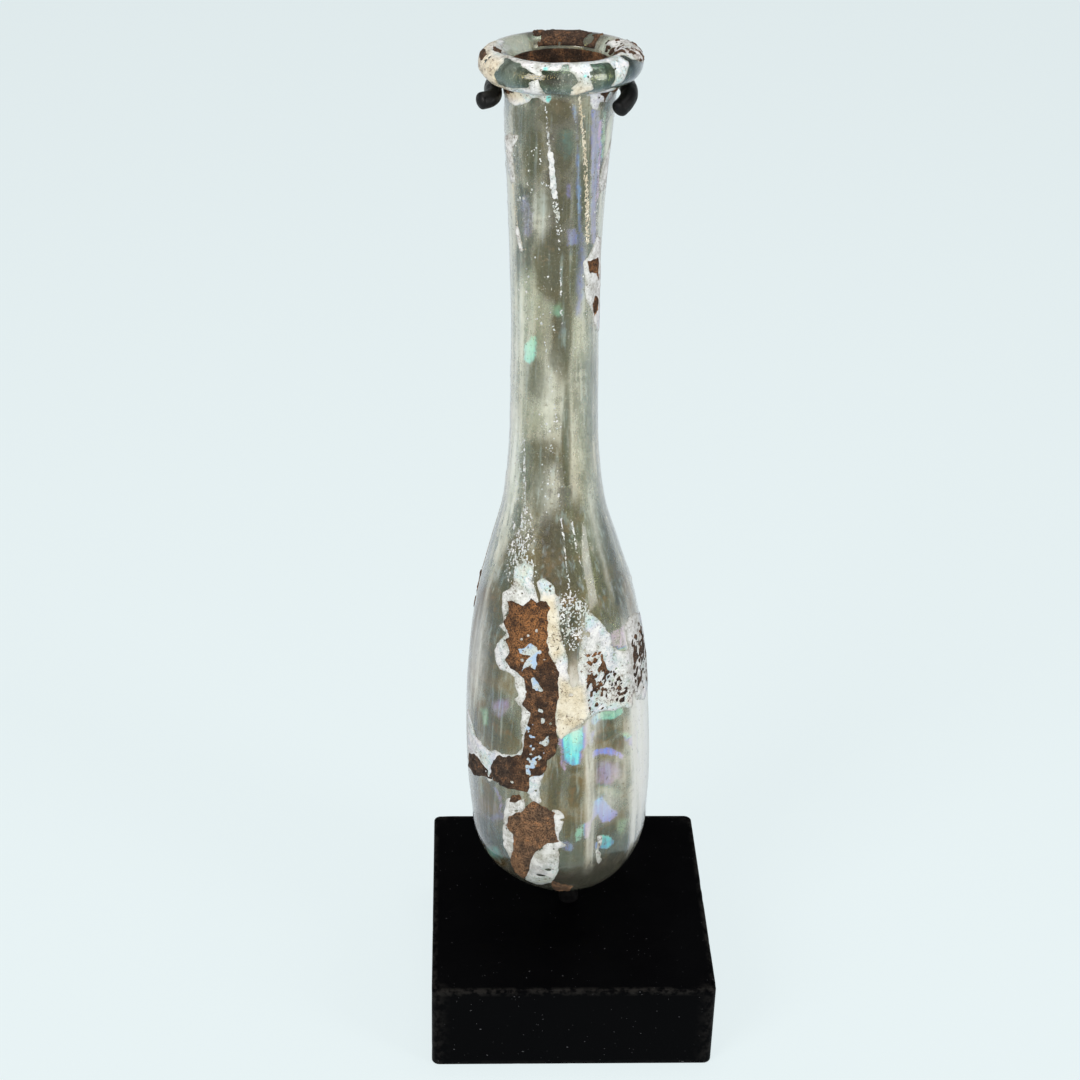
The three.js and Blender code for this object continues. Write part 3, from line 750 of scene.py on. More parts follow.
def glass_material():
    n = Nodes("weathered_glass")
    streaks = n.noise(0.8, 4, 0.65, stretch=(1, 1, 0.04))
    bands = n.noise(2.6, 3, 0.5, stretch=(1, 1, 0.05))
    clouds = n.noise(8, 5, 0.6)
    mottle = n.noise(1.6, 5, 0.72)
    fine = n.noise(0.3, 3, 0.75)
    inner, highlight_streak, rim, residue, speckled = n.attributes("inner", "highlight_streak", "rim", "residue", "speckled")
    outer = 1.0 - inner
    # Pale lines painted along the glass as highlights and reflections, broken up by noise
    painted_highlight = highlight_streak * (streaks + fine).spread(0.7, 1.2, 0.35, 1.0)

    # Haze: cloudy, drawn out along the glass, and grainy close up
    haze = (bands * 0.45 + clouds * 0.5 + streaks * 0.25 + mottle * 0.3).spread(0.62, 0.92)
    tint = n.mix(haze, srgb(231, 229, 211), srgb(212, 204, 182))
    tint = n.mix((mottle + fine * 0.3).spread(0.66, 0.86, 0.0, 0.7), tint, srgb(168, 162, 138))
    rim_tint = n.mix(clouds.spread(0.4, 0.6), srgb(112, 130, 108), srgb(148, 160, 148))
    tint = n.mix(rim, tint, rim_tint)

    # Dirt on the hollow's wall, and tarnish on the outside
    patchy = mottle * 0.8 + (clouds + fine * 0.3)
    dirt = residue * patchy.spread(0.8, 1.25, 0.45, 1.2)
    lumps = n.noise(3.2, 4, 0.7)
    dirt_colour = n.mix(mottle.spread(0.42, 0.6), srgb(82, 77, 56), srgb(50, 42, 31))
    dirt_colour = n.mix(lumps.spread(0.52, 0.62), dirt_colour, srgb(104, 78, 46))
    dirt_colour = n.mix(lumps.spread(0.46, 0.36), dirt_colour, srgb(46, 50, 43))
    thin_dirt = n.mix(clouds.spread(0.42, 0.6), srgb(116, 104, 78), srgb(122, 98, 60))
    dirt_colour = n.mix(dirt.spread(0.35, 1.0), thin_dirt, dirt_colour)
    dirt_colour = n.mix(speckled * 0.5, dirt_colour, srgb(84, 88, 74))
    colour = n.mix(dirt.spread(0.0, 0.5), tint, dirt_colour)

    # Films: a thickness-like phase runs through the interference colours
    film_inside, film_soft, film_strength, phase = n.attributes("film_inside", "film_soft", "film", "phase")
    ragged = (mottle + fine - 1.0) * 0.9
    film = ((film_inside + ragged) / film_soft).spread(-0.5, 0.8) * film_strength
    film = film * (streaks + mottle).spread(0.75, 1.15, 0.6, 1.0)
    wander = (clouds + mottle * 0.7 - 0.85) * 0.25
    stripe = (streaks - 0.5) * 0.35
    colour = n.mix(film, colour, n.ramp(phase + (wander + stripe), INTERFERENCE))

    # A faint overall sheen of the same colours
    sheen = outer * streaks.spread(0.5, 0.72, 0.0, 0.3)
    sheen_phase = ((clouds + streaks * 0.6) * 3.0).fraction()
    colour = n.mix(sheen, colour, n.ramp(sheen_phase, PEARL))

    # Frosted patches, then grime, pale flecks and the pale lines painted along the glass as highlights
    frost = n.attributes("frost")[0] * (mottle + streaks).spread(0.7, 1.2, 0.55, 1.0)
    frost_colour = n.mix(speckled, srgb(232, 228, 223), srgb(212, 219, 210))
    colour = n.mix(frost * 0.9, colour, frost_colour)
    flecks = n.noise(0.25, 2, 0.6).spread(0.64, 0.72) * clouds.spread(0.4, 0.56) * speckled
    grime = (n.noise(0.5, 3, 0.75) + mottle * 0.6).spread(0.92, 1.0)
    colour = n.mix(grime * 0.75, colour, srgb(96, 84, 62))
    colour = n.mix(flecks * 0.7, colour, srgb(236, 234, 222))
    colour = n.mix(painted_highlight * 0.75, colour, srgb(222, 216, 202))

    # What lies on the glass also dims and roughens it
    outer_haze = (1.0 - inner * 0.75) * haze.spread(0, 1, 0.08, 0.42) * n.attributes("hazed")[0]
    cover = outer_haze + dirt * inner.spread(0, 1, 0.72, 0.8)
    for part, share in ((film, 0.45), (frost, 0.8), (flecks, 0.35), (grime, 0.3), (painted_highlight, 0.55)):
        cover = cover + part * share
    return n.finish(
        base_color=colour, transmission_weight=cover.spread(0.0, 1.0, 0.97, 0.06),
        roughness=cover.spread(0.0, 0.8, 0.08, 0.4), normal=n.bump(streaks + bands + fine * 0.4, 0.18, 0.6),
        ior=1.5, coat_weight=outer * 0.8, coat_roughness=0.1, thin_film_thickness=430.0, thin_film_ior=1.38,
    )


def crust_material():
    n = Nodes("lime_crust")
    broad = n.noise(6, 4, 0.6)
    patch = n.noise(1.8, 5, 0.7)
    grain = n.noise(0.3, 3, 0.75)
    thin, cream, pearl, cool, glint = n.attributes("thin", "cream", "pearl", "cool", "glint")
    white = n.mix((patch + grain * 0.4).spread(0.55, 0.85), srgb(230, 227, 224), srgb(182, 178, 170))
    colour = n.mix(cream, white, n.mix(patch.spread(0.38, 0.62), srgb(228, 217, 196), srgb(206, 190, 162)))
    play = (broad + patch * 0.5).spread(0.5, 1.0)
    colour = n.mix(pearl * (patch + grain).spread(0.8, 1.15), colour, n.ramp(play, PEARL))
    bluish = n.mix(patch.spread(0.44, 0.54), srgb(150, 184, 222), srgb(200, 206, 204))
    colour = n.mix(cool * 0.75, colour, bluish)
    colour = n.mix(glint * 0.9, colour, srgb(112, 222, 214))
    # Thinner crust by the edges is greyer, and brown grains sit in the pits
    colour = n.mix(thin * patch.spread(0.4, 0.6, 0.3, 0.8), colour, srgb(164, 160, 146))
    pits = (grain + patch * 0.45).spread(0.79, 0.92)
    colour = n.mix(pits * 0.8, colour, srgb(110, 92, 72))
    crumbs = (n.noise(0.5, 2, 0.6) + broad * 0.5).spread(0.89, 0.94)
    colour = n.mix(crumbs * 0.85, colour, srgb(96, 66, 44))
    cracks = n.cells(1.1, "DISTANCE_TO_EDGE").spread(0.0, 0.06, 1.0, 0.0) * broad.spread(0.45, 0.6)
    colour = n.mix(cracks * 0.3, colour, srgb(140, 128, 112))
    height = grain + patch * 1.5 - cracks * 0.5
    return n.finish(
        base_color=colour, roughness=grain.spread(0.35, 0.65, 0.34, 0.66), normal=n.bump(height, 0.12, 0.8),
        coat_weight=0.2, coat_roughness=0.3, thin_film_thickness=380.0, thin_film_ior=1.4,
    )


def soil_material():
    n = Nodes("burial_soil")
    broad = n.noise(6, 3, 0.6)
    patch = n.noise(1.5, 4, 0.7)
    grain = n.noise(0.26, 3, 0.75)
    dark, taupe = n.attributes("dark", "taupe")
    mid = patch.spread(0.4, 0.6)
    colour = n.mix((broad + patch).spread(0.82, 1.15), srgb(84, 58, 39), srgb(158, 108, 66))
    # The dark attribute is partly darker soil and partly painted shade towards the flask's sides
    colour = n.mix(dark, colour, n.mix(mid, srgb(52, 40, 33), srgb(92, 72, 58)))
    colour = n.mix(taupe, colour, n.mix(mid, srgb(104, 84, 68), srgb(146, 118, 94)))
    colour = n.mix(grain.spread(0.38, 0.58, 0.95, 0.0), colour, srgb(34, 24, 18))
    rust = (patch + grain * 0.6).spread(0.9, 1.05) * dark.spread(0, 1, 0.65, 0.35)
    colour = n.mix(rust, colour, srgb(190, 124, 70))
    pale = n.noise(0.2, 2, 0.6).spread(0.69, 0.76)
    colour = n.mix(pale * 0.7, colour, srgb(200, 182, 158))
    return n.finish(base_color=colour, roughness=grain.spread(0.3, 0.7, 0.75, 0.98),
                    normal=n.bump(grain + n.cells(0.3) * 0.6, 0.18, 1.0), specular_ior_level=0.25)


def lacquer_material():
    n = Nodes("black_lacquer")
    grain = n.noise(0.8, 3, 0.6, stretch=(0.15, 1, 1))
    smear = n.noise(12, 4, 0.6)
    dust = n.noise(0.45, 1, 0.4).spread(0.775, 0.8)
    # Lighter edges: partly wear, partly a painted highlight along the eased edges, strongest on the top edge
    wear_and_highlight = n.attributes("edge")[0] * n.noise(1.6, 4, 0.7).spread(0.42, 0.62)
    colour = n.mix(smear, srgb(2, 2, 3), srgb(5, 5, 6))
    colour = n.mix(wear_and_highlight * 0.5, colour, srgb(44, 42, 40))
    colour = n.mix(dust * 0.35, colour, srgb(120, 120, 122))
    return n.finish(base_color=colour, roughness=smear.spread(0.3, 0.7, 0.34, 0.5),
                    normal=n.bump(grain, 0.03, 0.3), specular_ior_level=0.02)


def steel_material():
    n = Nodes("black_steel")
    lumps = n.noise(0.9, 3, 0.6)
    scuff = n.noise(0.6, 4, 0.75).spread(0.64, 0.74)
    colour = n.mix(lumps, srgb(4, 4, 5), srgb(14, 13, 13))
    colour = n.mix(scuff * 0.5, colour, srgb(74, 70, 66))
    return n.finish(base_color=colour, roughness=lumps.spread(0.3, 0.7, 0.32, 0.6),
                    metallic=scuff.spread(0, 1, 0.0, 0.4), normal=n.bump(lumps, 0.12, 0.6),
                    specular_ior_level=0.2)


def film_attributes(angle, run, back):
    """Where the films lie, how strong and soft they are, and where each starts in its run of colours."""
    bent = warped(angle, run, 31)
    inside = np.full(len(run), -FAR)
    softness = np.full(len(run), 1.0)
    strength = np.zeros(len(run))
    phase = np.full(len(run), 0.85)
    for low_phase, high_phase, amount, soft, outline in FILMS:
        depth = inside_distance(outline, *bent)
        take = depth > np.where(strength > 0, np.minimum(inside, 0.0), 0.01 - FAR)
        ends = [corner[1] for corner in outline]
        share = np.clip((bent[1] - min(ends)) / (max(ends) - min(ends)), 0, 1)
        inside = np.where(take, depth, inside)
        softness = np.where(take, soft, softness)
        strength = np.where(take, amount, strength)
        phase = np.where(take, low_phase + (high_phase - low_phase) * share, phase)
    # The hidden back carries broad, fainter films
    wander = fractal(skin(angle, run), 16, 3, 41)
    depth = np.where(back > 0, (wander - 0.1) * 8 * back, -FAR)
    take = depth > inside
    return {
        "film_inside": np.where(take, depth, inside),
        "film_soft": softness,
        "film": np.where(take, 0.5, strength),
        "phase": np.where(take, 0.45 + 0.5 * wander, phase),
    }


# How strongly the painted highlight streaks show at each place on the glass
def highlight_streak_strength(angle, run):
    radius = np.maximum(outer_profile(run)[0], SMALLEST_RADIUS)
    result = np.zeros(len(run))
    for centre, low, high, width, amount in HIGHLIGHT_STREAKS:
        across = np.abs(np.radians(angle_gap(angle, centre)) * radius)
        line = 1 - smooth_step(0.3 * width, width + 0.3, across)
        result = np.maximum(result, amount * stretch(low, high, 4, run) * line)
    return result


def haze_by_run(run):
    """The glass is clearer low down, at the foot."""
    return 1 - 0.75 * smooth_step(26, 16, run)


def outer_attributes(angle, run):
    """What lies on the outside of the glass, for its material."""
    place = skin(angle, run)
    back = smooth_step(95, 125, np.abs(angle)) * smooth_step(150, 146, run)
    rim = smooth_step(NECK_TOP, NECK_TOP + 1.5, run) * (1 - 0.75 * smooth_step(80, 100, np.abs(angle)))
    # The dirt's patches show as tarnish on the outside too, over a taupe cast on the body
    taupe = 0.34 * smooth_step(8, 16, run) * (1 - smooth_step(62, 74, run)) * (1 - smooth_step(40, 54, angle))
    below_rim = 1 - 0.9 * smooth_step(NECK_TOP, NECK_TOP + 1, run)
    tarnish = np.maximum(soft_patches(DIRT, angle, run), taupe) * below_rim
    tarnish = np.maximum(tarnish, 0.35 * smooth_step(-0.1, 0.5, fractal(place, 16, 3, 63)) * back)
    frost = soft_patches(FROST, angle, run)
    frost = np.maximum(frost, 0.4 * smooth_step(0.0, 0.5, fractal(place, 18, 3, 59)) * back)
    return {
        **film_attributes(angle, run, back),
        "highlight_streak": highlight_streak_strength(angle, run), "frost": frost, "residue": tarnish, "rim": rim,
        "speckled": smooth_step(60, 76, run), "hazed": haze_by_run(run), "inner": 0.0,
    }


def inner_attributes(angle, radius, height):
    """What lies on the hollow's wall."""
    behind = fractal(turned(angle, radius, height), 20, 3, 57)
    hidden = 0.6 * smooth_step(60, 110, np.abs(angle)) * smooth_step(0.0, 0.5, behind)
    return {
        "film_inside": -FAR, "film_soft": 1.0, "inner": 1.0, "hazed": haze_by_run(height),
        "residue": np.maximum(soft_patches(DIRT, angle, height), hidden),
        "rim": smooth_step(140, 150, height),
    }


def make_flask(material):
    """The blown wall as one closed mesh: outside, rim, then the hollow down to the foot."""
    around = 200
    angles = np.arange(around) * 360 / around - 180
    dome = DOME_HEIGHT * (1 - np.cos(np.linspace(0, np.pi / 2, 34)[1:]))
    wall = np.linspace(DOME_HEIGHT, NECK_TOP, 262)[1:]
    rim = NECK_TOP + np.linspace(0, RIM_RUN, 30)[1:]
    runs = np.concatenate([dome, wall, rim])
    bowl = 1 - np.cos(np.linspace(np.pi / 2, 0, 18)[1:-1])
    inner_heights = np.concatenate([
        np.linspace(NECK_TOP, HOLLOW_DOME_TOP, 96), FOOT_WALL + (HOLLOW_DOME_TOP - FOOT_WALL) * bowl,
    ])
    angle, run = (a.ravel() for a in np.meshgrid(angles, runs))
    inner_angle, inner_height = (a.ravel() for a in np.meshgrid(angles, inner_heights))
    # The hollow follows the outside's ribs, more softly
    inner_radius = inner_profile(inner_height) + 0.5 * relief(inner_angle, inner_height)
    inside = turned(inner_angle, inner_radius, inner_height)
    foot = turned(np.zeros(2), np.zeros(2), np.array([0.0, FOOT_WALL]))
    points = placed(np.concatenate([foot[:1], outer_point(angle, run), inside, foot[1:]]))
    rings = len(runs) + len(inner_heights)
    faces = [
        ring_faces(rings, around) + 1, fans(around, (0, len(points) - 1), (1, 1 + (rings - 1) * around)),
    ]
    outer, inner = outer_attributes(angle, run), inner_attributes(inner_angle, inner_radius, inner_height)
    attributes = {}
    for key, values in outer.items():
        values = np.broadcast_to(values, len(run))
        within = np.broadcast_to(inner.get(key, 0.0), len(inside))
        attributes[key] = np.concatenate([values[:1], values, within, within[-1:]])
    return make_mesh("flask_glass", points, faces, material, attributes)


def clip(triangles, field):
    """The parts of the triangles where the field is above 0, as node pairs and new triangles."""
    inside = field[triangles] > 0
    count = inside.sum(1)

    def pairs(first, second):
        return np.stack([np.minimum(first, second), np.maximum(first, second)], -1)

    def odd_first(chosen, odd):
        """The corners of the chosen triangles, starting at the one that differs from the others."""
        here = triangles[chosen]
        return (here[np.arange(len(here)), (odd + k) % 3] for k in range(3))

    corners = [np.stack([pairs(t, t) for t in triangles[count == 3].T], 1)]
    p, q, r = odd_first(count == 1, inside[count == 1].argmax(1))
    corners.append(np.stack([pairs(p, p), pairs(p, q), pairs(p, r)], 1))
    p, q, r = odd_first(count == 2, inside[count == 2].argmin(1))
    corners.append(np.stack([pairs(q, q), pairs(r, r), pairs(r, p)], 1))
    corners.append(np.stack([pairs(q, q), pairs(r, p), pairs(p, q)], 1))
    corners = np.concatenate(corners)
    keys = corners[..., 0] * len(field) + corners[..., 1]
    unique, back = np.unique(keys, return_inverse=True)
    return np.stack([unique // len(field), unique % len(field)], -1), back.reshape(-1, 3)


def make_layer(name, cell, span, field_of, lift_of, material, attributes_of, reach=(0, 181)):
    """A thin closed shell over the outside of the flask, where field_of is above 0.

    It covers the runs in span, and the angles whose distance from the front lies in reach."""
    low, high = span
    around = int(round(2 * math.pi * DOME_RADIUS / cell))
    rows = int(round((high - low) / cell)) + 1
    angles = np.arange(around) * 360 / around - 180
    angle, run = (a.ravel() for a in np.meshgrid(angles, np.linspace(low, high, rows)))
    field = field_of(angle, run)
    quads = ring_faces(rows, around)
    turn = np.abs(angle[quads[:, 0]])
    quads = quads[(field[quads] > 0).any(1) & (turn >= reach[0]) & (turn < reach[1])]
    node_pairs, triangles = clip(np.concatenate([quads[:, [0, 1, 2]], quads[:, [0, 2, 3]]]), field)
    first, second = node_pairs.T
    gap = field[first] - field[second]
    share = np.where(first == second, 0, np.clip(field[first] / np.where(gap == 0, 1, gap), 0.03, 0.97))
    new_angle = angle[first] + share * angle_gap(angle[second], angle[first])
    new_run = run[first] + share * (run[second] - run[first])
    depth = np.where(first == second, field[first], 0.0)
    top = outer_point(new_angle, new_run, lift_of(new_angle, new_run, depth))
    bottom = outer_point(new_angle, new_run, -0.05)
    count = len(top)
    edges = np.concatenate([triangles[:, [0, 1]], triangles[:, [1, 2]], triangles[:, [2, 0]]])
    keys = edges[:, 0] * count + edges[:, 1]
    rim = edges[~np.isin(keys, edges[:, 1] * count + edges[:, 0])]
    walls = np.stack([rim[:, 1], rim[:, 0], rim[:, 0] + count, rim[:, 1] + count], -1)
    attributes = {key: np.tile(values, 2) for key, values in attributes_of(new_angle, new_run).items()}
    faces = [triangles, triangles[:, ::-1] + count, walls]
    return make_mesh(name, placed(np.concatenate([top, bottom])), faces, material, attributes)


def soil_field(angle, run):
    place = skin(angle, run)
    bent = warped(angle, run, 61)
    fine = 0.34 * fractal(place, 1.1, 3, 71)
    field = nearest(SOIL, *bent) + fine
    patchy = 0.62 + 0.5 * noise(place, 3, 85)
    grains = np.maximum(scatter(*bent, 1.0, 83, patchy), scatter(angle, run, 0.6, 87, patchy))
    grains = np.maximum(grains, (fractal(place, 1.6, 3, 89) - 0.22) * 1.2)
    on_rim = np.maximum(scatter(*bent, 0.55, 94, 0.4 * patchy), (fractal(place, 0.9, 3, 95) - 0.1) * 0.8)
    grains = np.where(run > 150, on_rim, grains)
    sparse = np.minimum(nearest(SOIL_SPARSE, *bent) + fine, grains + 0.5 * fine)
    field = np.maximum(field, sparse)
    gaps = np.maximum(
        nearest(SOIL_GAPS, *bent) - 0.3 + fine,
        np.minimum(nearest(SOIL_GAPS_SPARSE, *bent), (fractal(place, 1.0, 3, 91) - 0.22) * 1.1),
    )
    # A few pinholes go right through the soil
    gaps = np.maximum(gaps, scatter(angle, run, 0.5, 93, 0.01))
    field = np.minimum(field, -gaps)
    # Hidden back and the rim's far side
    behind = np.minimum(fractal(place, 15, 3, 97) * 5 - 1.4, (np.abs(angle) - 100) * 0.2) + 2 * fine
    behind = np.minimum(behind, 146 - run)
    far_rim = np.minimum((34 - np.abs(angle_gap(angle, 172))) * 0.15, run - 159.2) + 2 * fine
    far_rim = np.minimum(far_rim, (fractal(place, 1.6, 3, 99) + 0.25) * 2)
    return np.maximum(field, np.maximum(behind, far_rim))


def crust_solid_field(angle, run):
    place = skin(angle, run)
    bent = warped(angle, run, 101)
    fine = 0.3 * fractal(place, 1.2, 3, 107)
    field = nearest(CRUST, *bent) + fine
    lip = 0.5 - np.abs(bent[1] - 159.1) + fine
    lip = np.minimum(lip, (75 - np.abs(angle_gap(angle, 2))) * 0.1)
    lip = np.minimum(lip, (fractal(place, 2.4, 2, 109) + 0.3) * 2)
    behind = np.minimum(fractal(place, 14, 3, 113) * 6 - 0.6, (np.abs(angle) - 98) * 0.2) + 2 * fine
    behind = np.minimum(behind, 158 - run)
    return np.maximum(np.maximum(field, lip), behind)


def crust_field(angle, run):
    # Crust stops a little way under the soil, and some small holes are open in it
    place = skin(angle, run)
    holes = np.maximum((fractal(place, 1.3, 2, 131) - 0.62) * 3, scatter(angle, run, 0.5, 133, 0.015))
    for centre, middle, width, height in CRUST_HOLES:
        off = np.radians(angle_gap(angle, centre)) * outer_profile(run)[0]
        holes = np.maximum(holes, (1 - np.hypot(off / width, (run - middle) / height)) * height)
    field = np.minimum(crust_solid_field(angle, run), -holes)
    return np.minimum(field, 0.7 - soil_field(angle, run))


def speck_field(angle, run):
    place = skin(angle, run)
    bent = warped(angle, run, 141)
    cover = np.zeros(len(run))
    for share, outline in CRUST_GRAINS:
        inside = smooth_step(-0.8, 0.8, inside_distance(outline, *bent))
        cover = np.maximum(cover, share * inside)
    fine = 0.16 * noise(place, 0.45, 153)
    solid = np.full(len(run), -3.0)
    for width, share, _, route in THREADS:
        line = width + fine - thread_distance(route, angle, run)
        if share != 1:
            cover = np.where(line > 0, np.maximum(cover, share), cover)
        else:
            solid = np.maximum(solid, line)
    cover = cover * np.clip(0.85 + 0.7 * noise(place, 1.8, 157), 0.2, 1.3)
    drawn = np.where((run > 66) & (run < 81), 3.0, 1.0)
    grains = scatter(angle, run, 0.34, 151, cover, drawn)
    grains = np.maximum(grains, scatter(angle, run, 0.26, 155, 0.8 * cover))
    return np.maximum(solid, np.where(cover > 0.02, grains, -1.0))


def soil_lift(angle, run, depth):
    place = skin(angle, run)
    grain = 0.2 * fractal(place, 0.7, 3, 163) + 0.16 * fractal(place, 3.0, 2, 167)
    edge = 0.07 + 0.15 * smooth_step(0, 0.16, depth)
    return edge + 0.22 * smooth_step(0, 1.1, depth) + grain * smooth_step(0, 0.5, depth)


def crust_lift(angle, run, depth):
    place = skin(angle, run)
    grain = 0.07 * fractal(place, 0.9, 3, 173) * smooth_step(0, 0.4, depth)
    return 0.05 + 0.09 * smooth_step(0, 0.6, depth) + grain


def speck_lift(_angle, _run, depth):
    return 0.03 + 0.07 * smooth_step(0, 0.15, depth)


def crust_attributes(angle, run):
    place = skin(angle, run)
    cream = smooth_step(-1.2, 1.2, nearest(CREAM, angle, run))
    gaps = np.maximum(nearest(SOIL_GAPS, angle, run), nearest(SOIL_GAPS_SPARSE, angle, run))
    pearl = smooth_step(-0.1, 0.5, fractal(place, 8, 3, 181) + 0.1) * (1 - cream)
    cool = smooth_step(-1.0, 0.3, gaps)
    thin = 1 - smooth_step(0.0, 0.5, crust_solid_field(angle, run))
    thin = np.maximum(thin, 0.75 * (1 - smooth_step(15, 21, run)))
    glint = np.zeros(len(run))
    for centre, middle, size in GLINTS:
        off = np.hypot(np.radians(angle_gap(angle, centre)) * outer_profile(run)[0], run - middle)
        glint = np.maximum(glint, 1 - smooth_step(0.6 * size, 1.2 * size, off))
    return {"cream": cream, "pearl": 0.8 * pearl, "cool": cool, "thin": thin, "glint": glint}


def speck_attributes(angle, run):
    warm = np.zeros(len(run))
    for _, _, tone, route in THREADS:
        if tone:
            warm = np.maximum(warm, 1 - smooth_step(0.5, 0.8, thread_distance(route, angle, run)))
    none = 0 * warm
    return {"cream": warm, "pearl": 0.3 * (1 - warm), "cool": none, "thin": none, "glint": none}


def soil_attributes(angle, run):
    low_strip = smooth_step(56, 50, run) * smooth_step(24, 28, run)
    # Soil on the body is painted darker towards the flask's sides, as shade where the surface turns away
    side = smooth_step(20, 50, np.abs(angle)) * smooth_step(90, 60, run)
    taupe = 0.6 * smooth_step(28, 25, run)
    dark = np.clip(0.65 * low_strip + 0.7 * side * (run > 26) + 0.85 * smooth_step(145, 150, run), 0, 1)
    return {"dark": dark, "taupe": np.clip(taupe, 0, 1)}


def make_mouth_soil(material):
    """Soil caked on the far side of the mouth's inside, as a closed shell standing in from the wall."""
    (left, right), (low, high) = MOUTH_SOIL_ANGLES, MOUTH_SOIL_HEIGHTS
    grid = np.meshgrid(np.linspace(left, right, 150), np.linspace(low, high, 120))
    rows, columns = grid[0].shape
    angle, height = (a.ravel() for a in grid)
    lip = RIM_RADIUS - RIM_HALF_WIDTH
    wall = np.where(height > NECK_TOP, lip, inner_profile(np.minimum(height, NECK_TOP)))
    place = turned(angle, wall, height)
    across, up = np.minimum(angle - left, right - angle), np.minimum(height - low, high - height)
    edge = np.minimum(across / 18, up / 2)
    thick = 0.35 + 0.3 * fractal(place, 3.2, 3, 191) + 0.12 * fractal(place, 0.8, 2, 193)
    shown = turned(angle, wall - np.maximum(thick * smooth_step(0, 1, edge), 0.0) - 0.02, height)
    buried = turned(angle, wall + 0.25, height)
    count = rows * columns
    index = np.arange(count).reshape(rows, columns)
    front = np.stack([index[:-1, :-1], index[1:, :-1], index[1:, 1:], index[:-1, 1:]], -1).reshape(-1, 4)
    loop = np.concatenate([index[0], index[1:, -1], index[-1, -2::-1], index[-2:0:-1, 0]])
    after = np.roll(loop, -1)
    walls = np.stack([loop, after, after + count, loop + count], -1)
    dark = np.tile(0.6 + 0.4 * smooth_step(0.2, -0.2, fractal(place, 4, 3, 197)), 2)
    return make_mesh("mouth_soil", placed(np.concatenate([shown, buried])),
                     [front, front[:, ::-1] + count, walls], material, {"dark": dark, "taupe": 0 * dark})


def rounded_square(side, corner, steps):
    """A closed square outline with round corners, anticlockwise from the front right."""
    reach = side / 2 - corner
    arcs = []
    for quarter, centre in enumerate(((1, -1), (1, 1), (-1, 1), (-1, -1))):
        turn = np.linspace(quarter - 1, quarter, 9) * math.pi / 2
        arcs.append(reach * np.array(centre) + corner * np.column_stack([np.cos(turn), np.sin(turn)]))
    points = []
    for arc, after in zip(arcs, arcs[1:] + arcs[:1]):
        points.extend([arc, np.linspace(arc[-1], after[0], steps + 1)[1:-1]])
    return np.concatenate(points)


def make_base(material):
    """The block as rings up its side, over its eased edge and in across its top and bottom."""
    ease, half = BASE_EASE, BASE_SIDE / 2
    # Each ring: how far in from the side, its height, and how much edge wear and painted highlight it gets
    stations = [(half + (ease - half) * share, 0, 0) for share in np.linspace(0.02, 1, 26)]
    for turn in np.linspace(0, math.pi / 2, 6)[1:]:
        stations.append((ease * (1 - math.sin(turn)), ease * (1 - math.cos(turn)), 0.4))
    stations += [(0, height, 0) for height in np.linspace(ease, BASE_HEIGHT - ease, 22)[1:-1]]
    for turn in np.linspace(0, math.pi / 2, 8):
        stations.append((ease * (1 - math.cos(turn)), BASE_HEIGHT - ease * (1 - math.sin(turn)), 1))
    stations += [(half + (ease - half) * share, BASE_HEIGHT, 0) for share in np.linspace(1, 0.02, 40)[1:]]
    outline = rounded_square(BASE_SIDE, BASE_CORNER, 44)
    around = len(outline)
    points = np.concatenate([
        np.column_stack([outline * (half - inset) / half, np.full(around, z)]) for inset, z, _ in stations
    ])
    edge = np.repeat([float(worn_and_highlit) for _, _, worn_and_highlit in stations], around)
    corner = smooth_step(0.86, 0.99, np.minimum(np.abs(points[:, 0]), np.abs(points[:, 1])) / half)
    edge = np.maximum(edge, corner * 0.8)
    # Small knocks along the worn edges
    knocks = np.maximum(0, fractal(points, 1.6, 3, 211) - 0.25) * edge * 0.35
    towards = points - (0, 0, BASE_HEIGHT / 2)
    points = points - towards / (np.linalg.norm(towards, axis=1, keepdims=True) + 1e-9) * knocks[:, None]
    points[:, 2] = np.clip(points[:, 2], 0, BASE_HEIGHT)
    count = len(points)
    ends = fans(around, (count, count + 1), (0, count - around))
    return make_mesh("base_block", np.concatenate([points, [(0, 0, 0), (0, 0, BASE_HEIGHT)]]),
                     [ring_faces(len(stations), around), ends], material, {"edge": np.append(edge, [0, 0])})


def sweep(name, route, radius, lump, seed, material):
    """A round bar along a route in millimetres, with softly domed ends and an uneven skin."""
    route = np.asarray(route, float)
    along = np.gradient(route, axis=0)
    along /= np.linalg.norm(along, axis=1, keepdims=True)
    side = np.cross(along[0], (0.3, 0.2, 1.0) if abs(along[0][2]) < 0.9 else (1.0, 0, 0))
    turn = np.arange(BAR_SIDES) * 2 * math.pi / BAR_SIDES
    dome = 0.55 * radius
    tilts = np.linspace(0.12, 1, 6) * math.pi / 2
    caps = [(dome * math.cos(tilt), radius * math.sin(tilt)) for tilt in tilts]
    centres, rings = [], []
    for i, (point, way) in enumerate(zip(route, along)):
        side = side - way * side.dot(way)
        side /= np.linalg.norm(side)
        spokes = np.outer(np.cos(turn), side) + np.outer(np.sin(turn), np.cross(way, side))
        stations = [(0.0, radius)]
        if i == 0:
            stations = [(-shift, size) for shift, size in caps]
        elif i == len(route) - 1:
            stations = caps[::-1]
        for shift, size in stations:
            centres.append(point + way * shift)
            rings.append(centres[-1] + size * spokes)
    points = np.concatenate(rings)
    outward = points - np.repeat(centres, BAR_SIDES, axis=0)
    outward /= np.linalg.norm(outward, axis=1, keepdims=True) + 1e-9
    points = points + outward * (lump * fractal(points, 2.2, 2, seed))[:, None]
    count = len(points)
    tips = [route[0] - along[0] * dome, route[-1] + along[-1] * dome]
    ends = fans(BAR_SIDES, (count, count + 1), (0, count - BAR_SIDES))
    faces = [ring_faces(len(rings), BAR_SIDES), ends]
    return make_mesh(name, np.concatenate([points, tips]), faces, material)


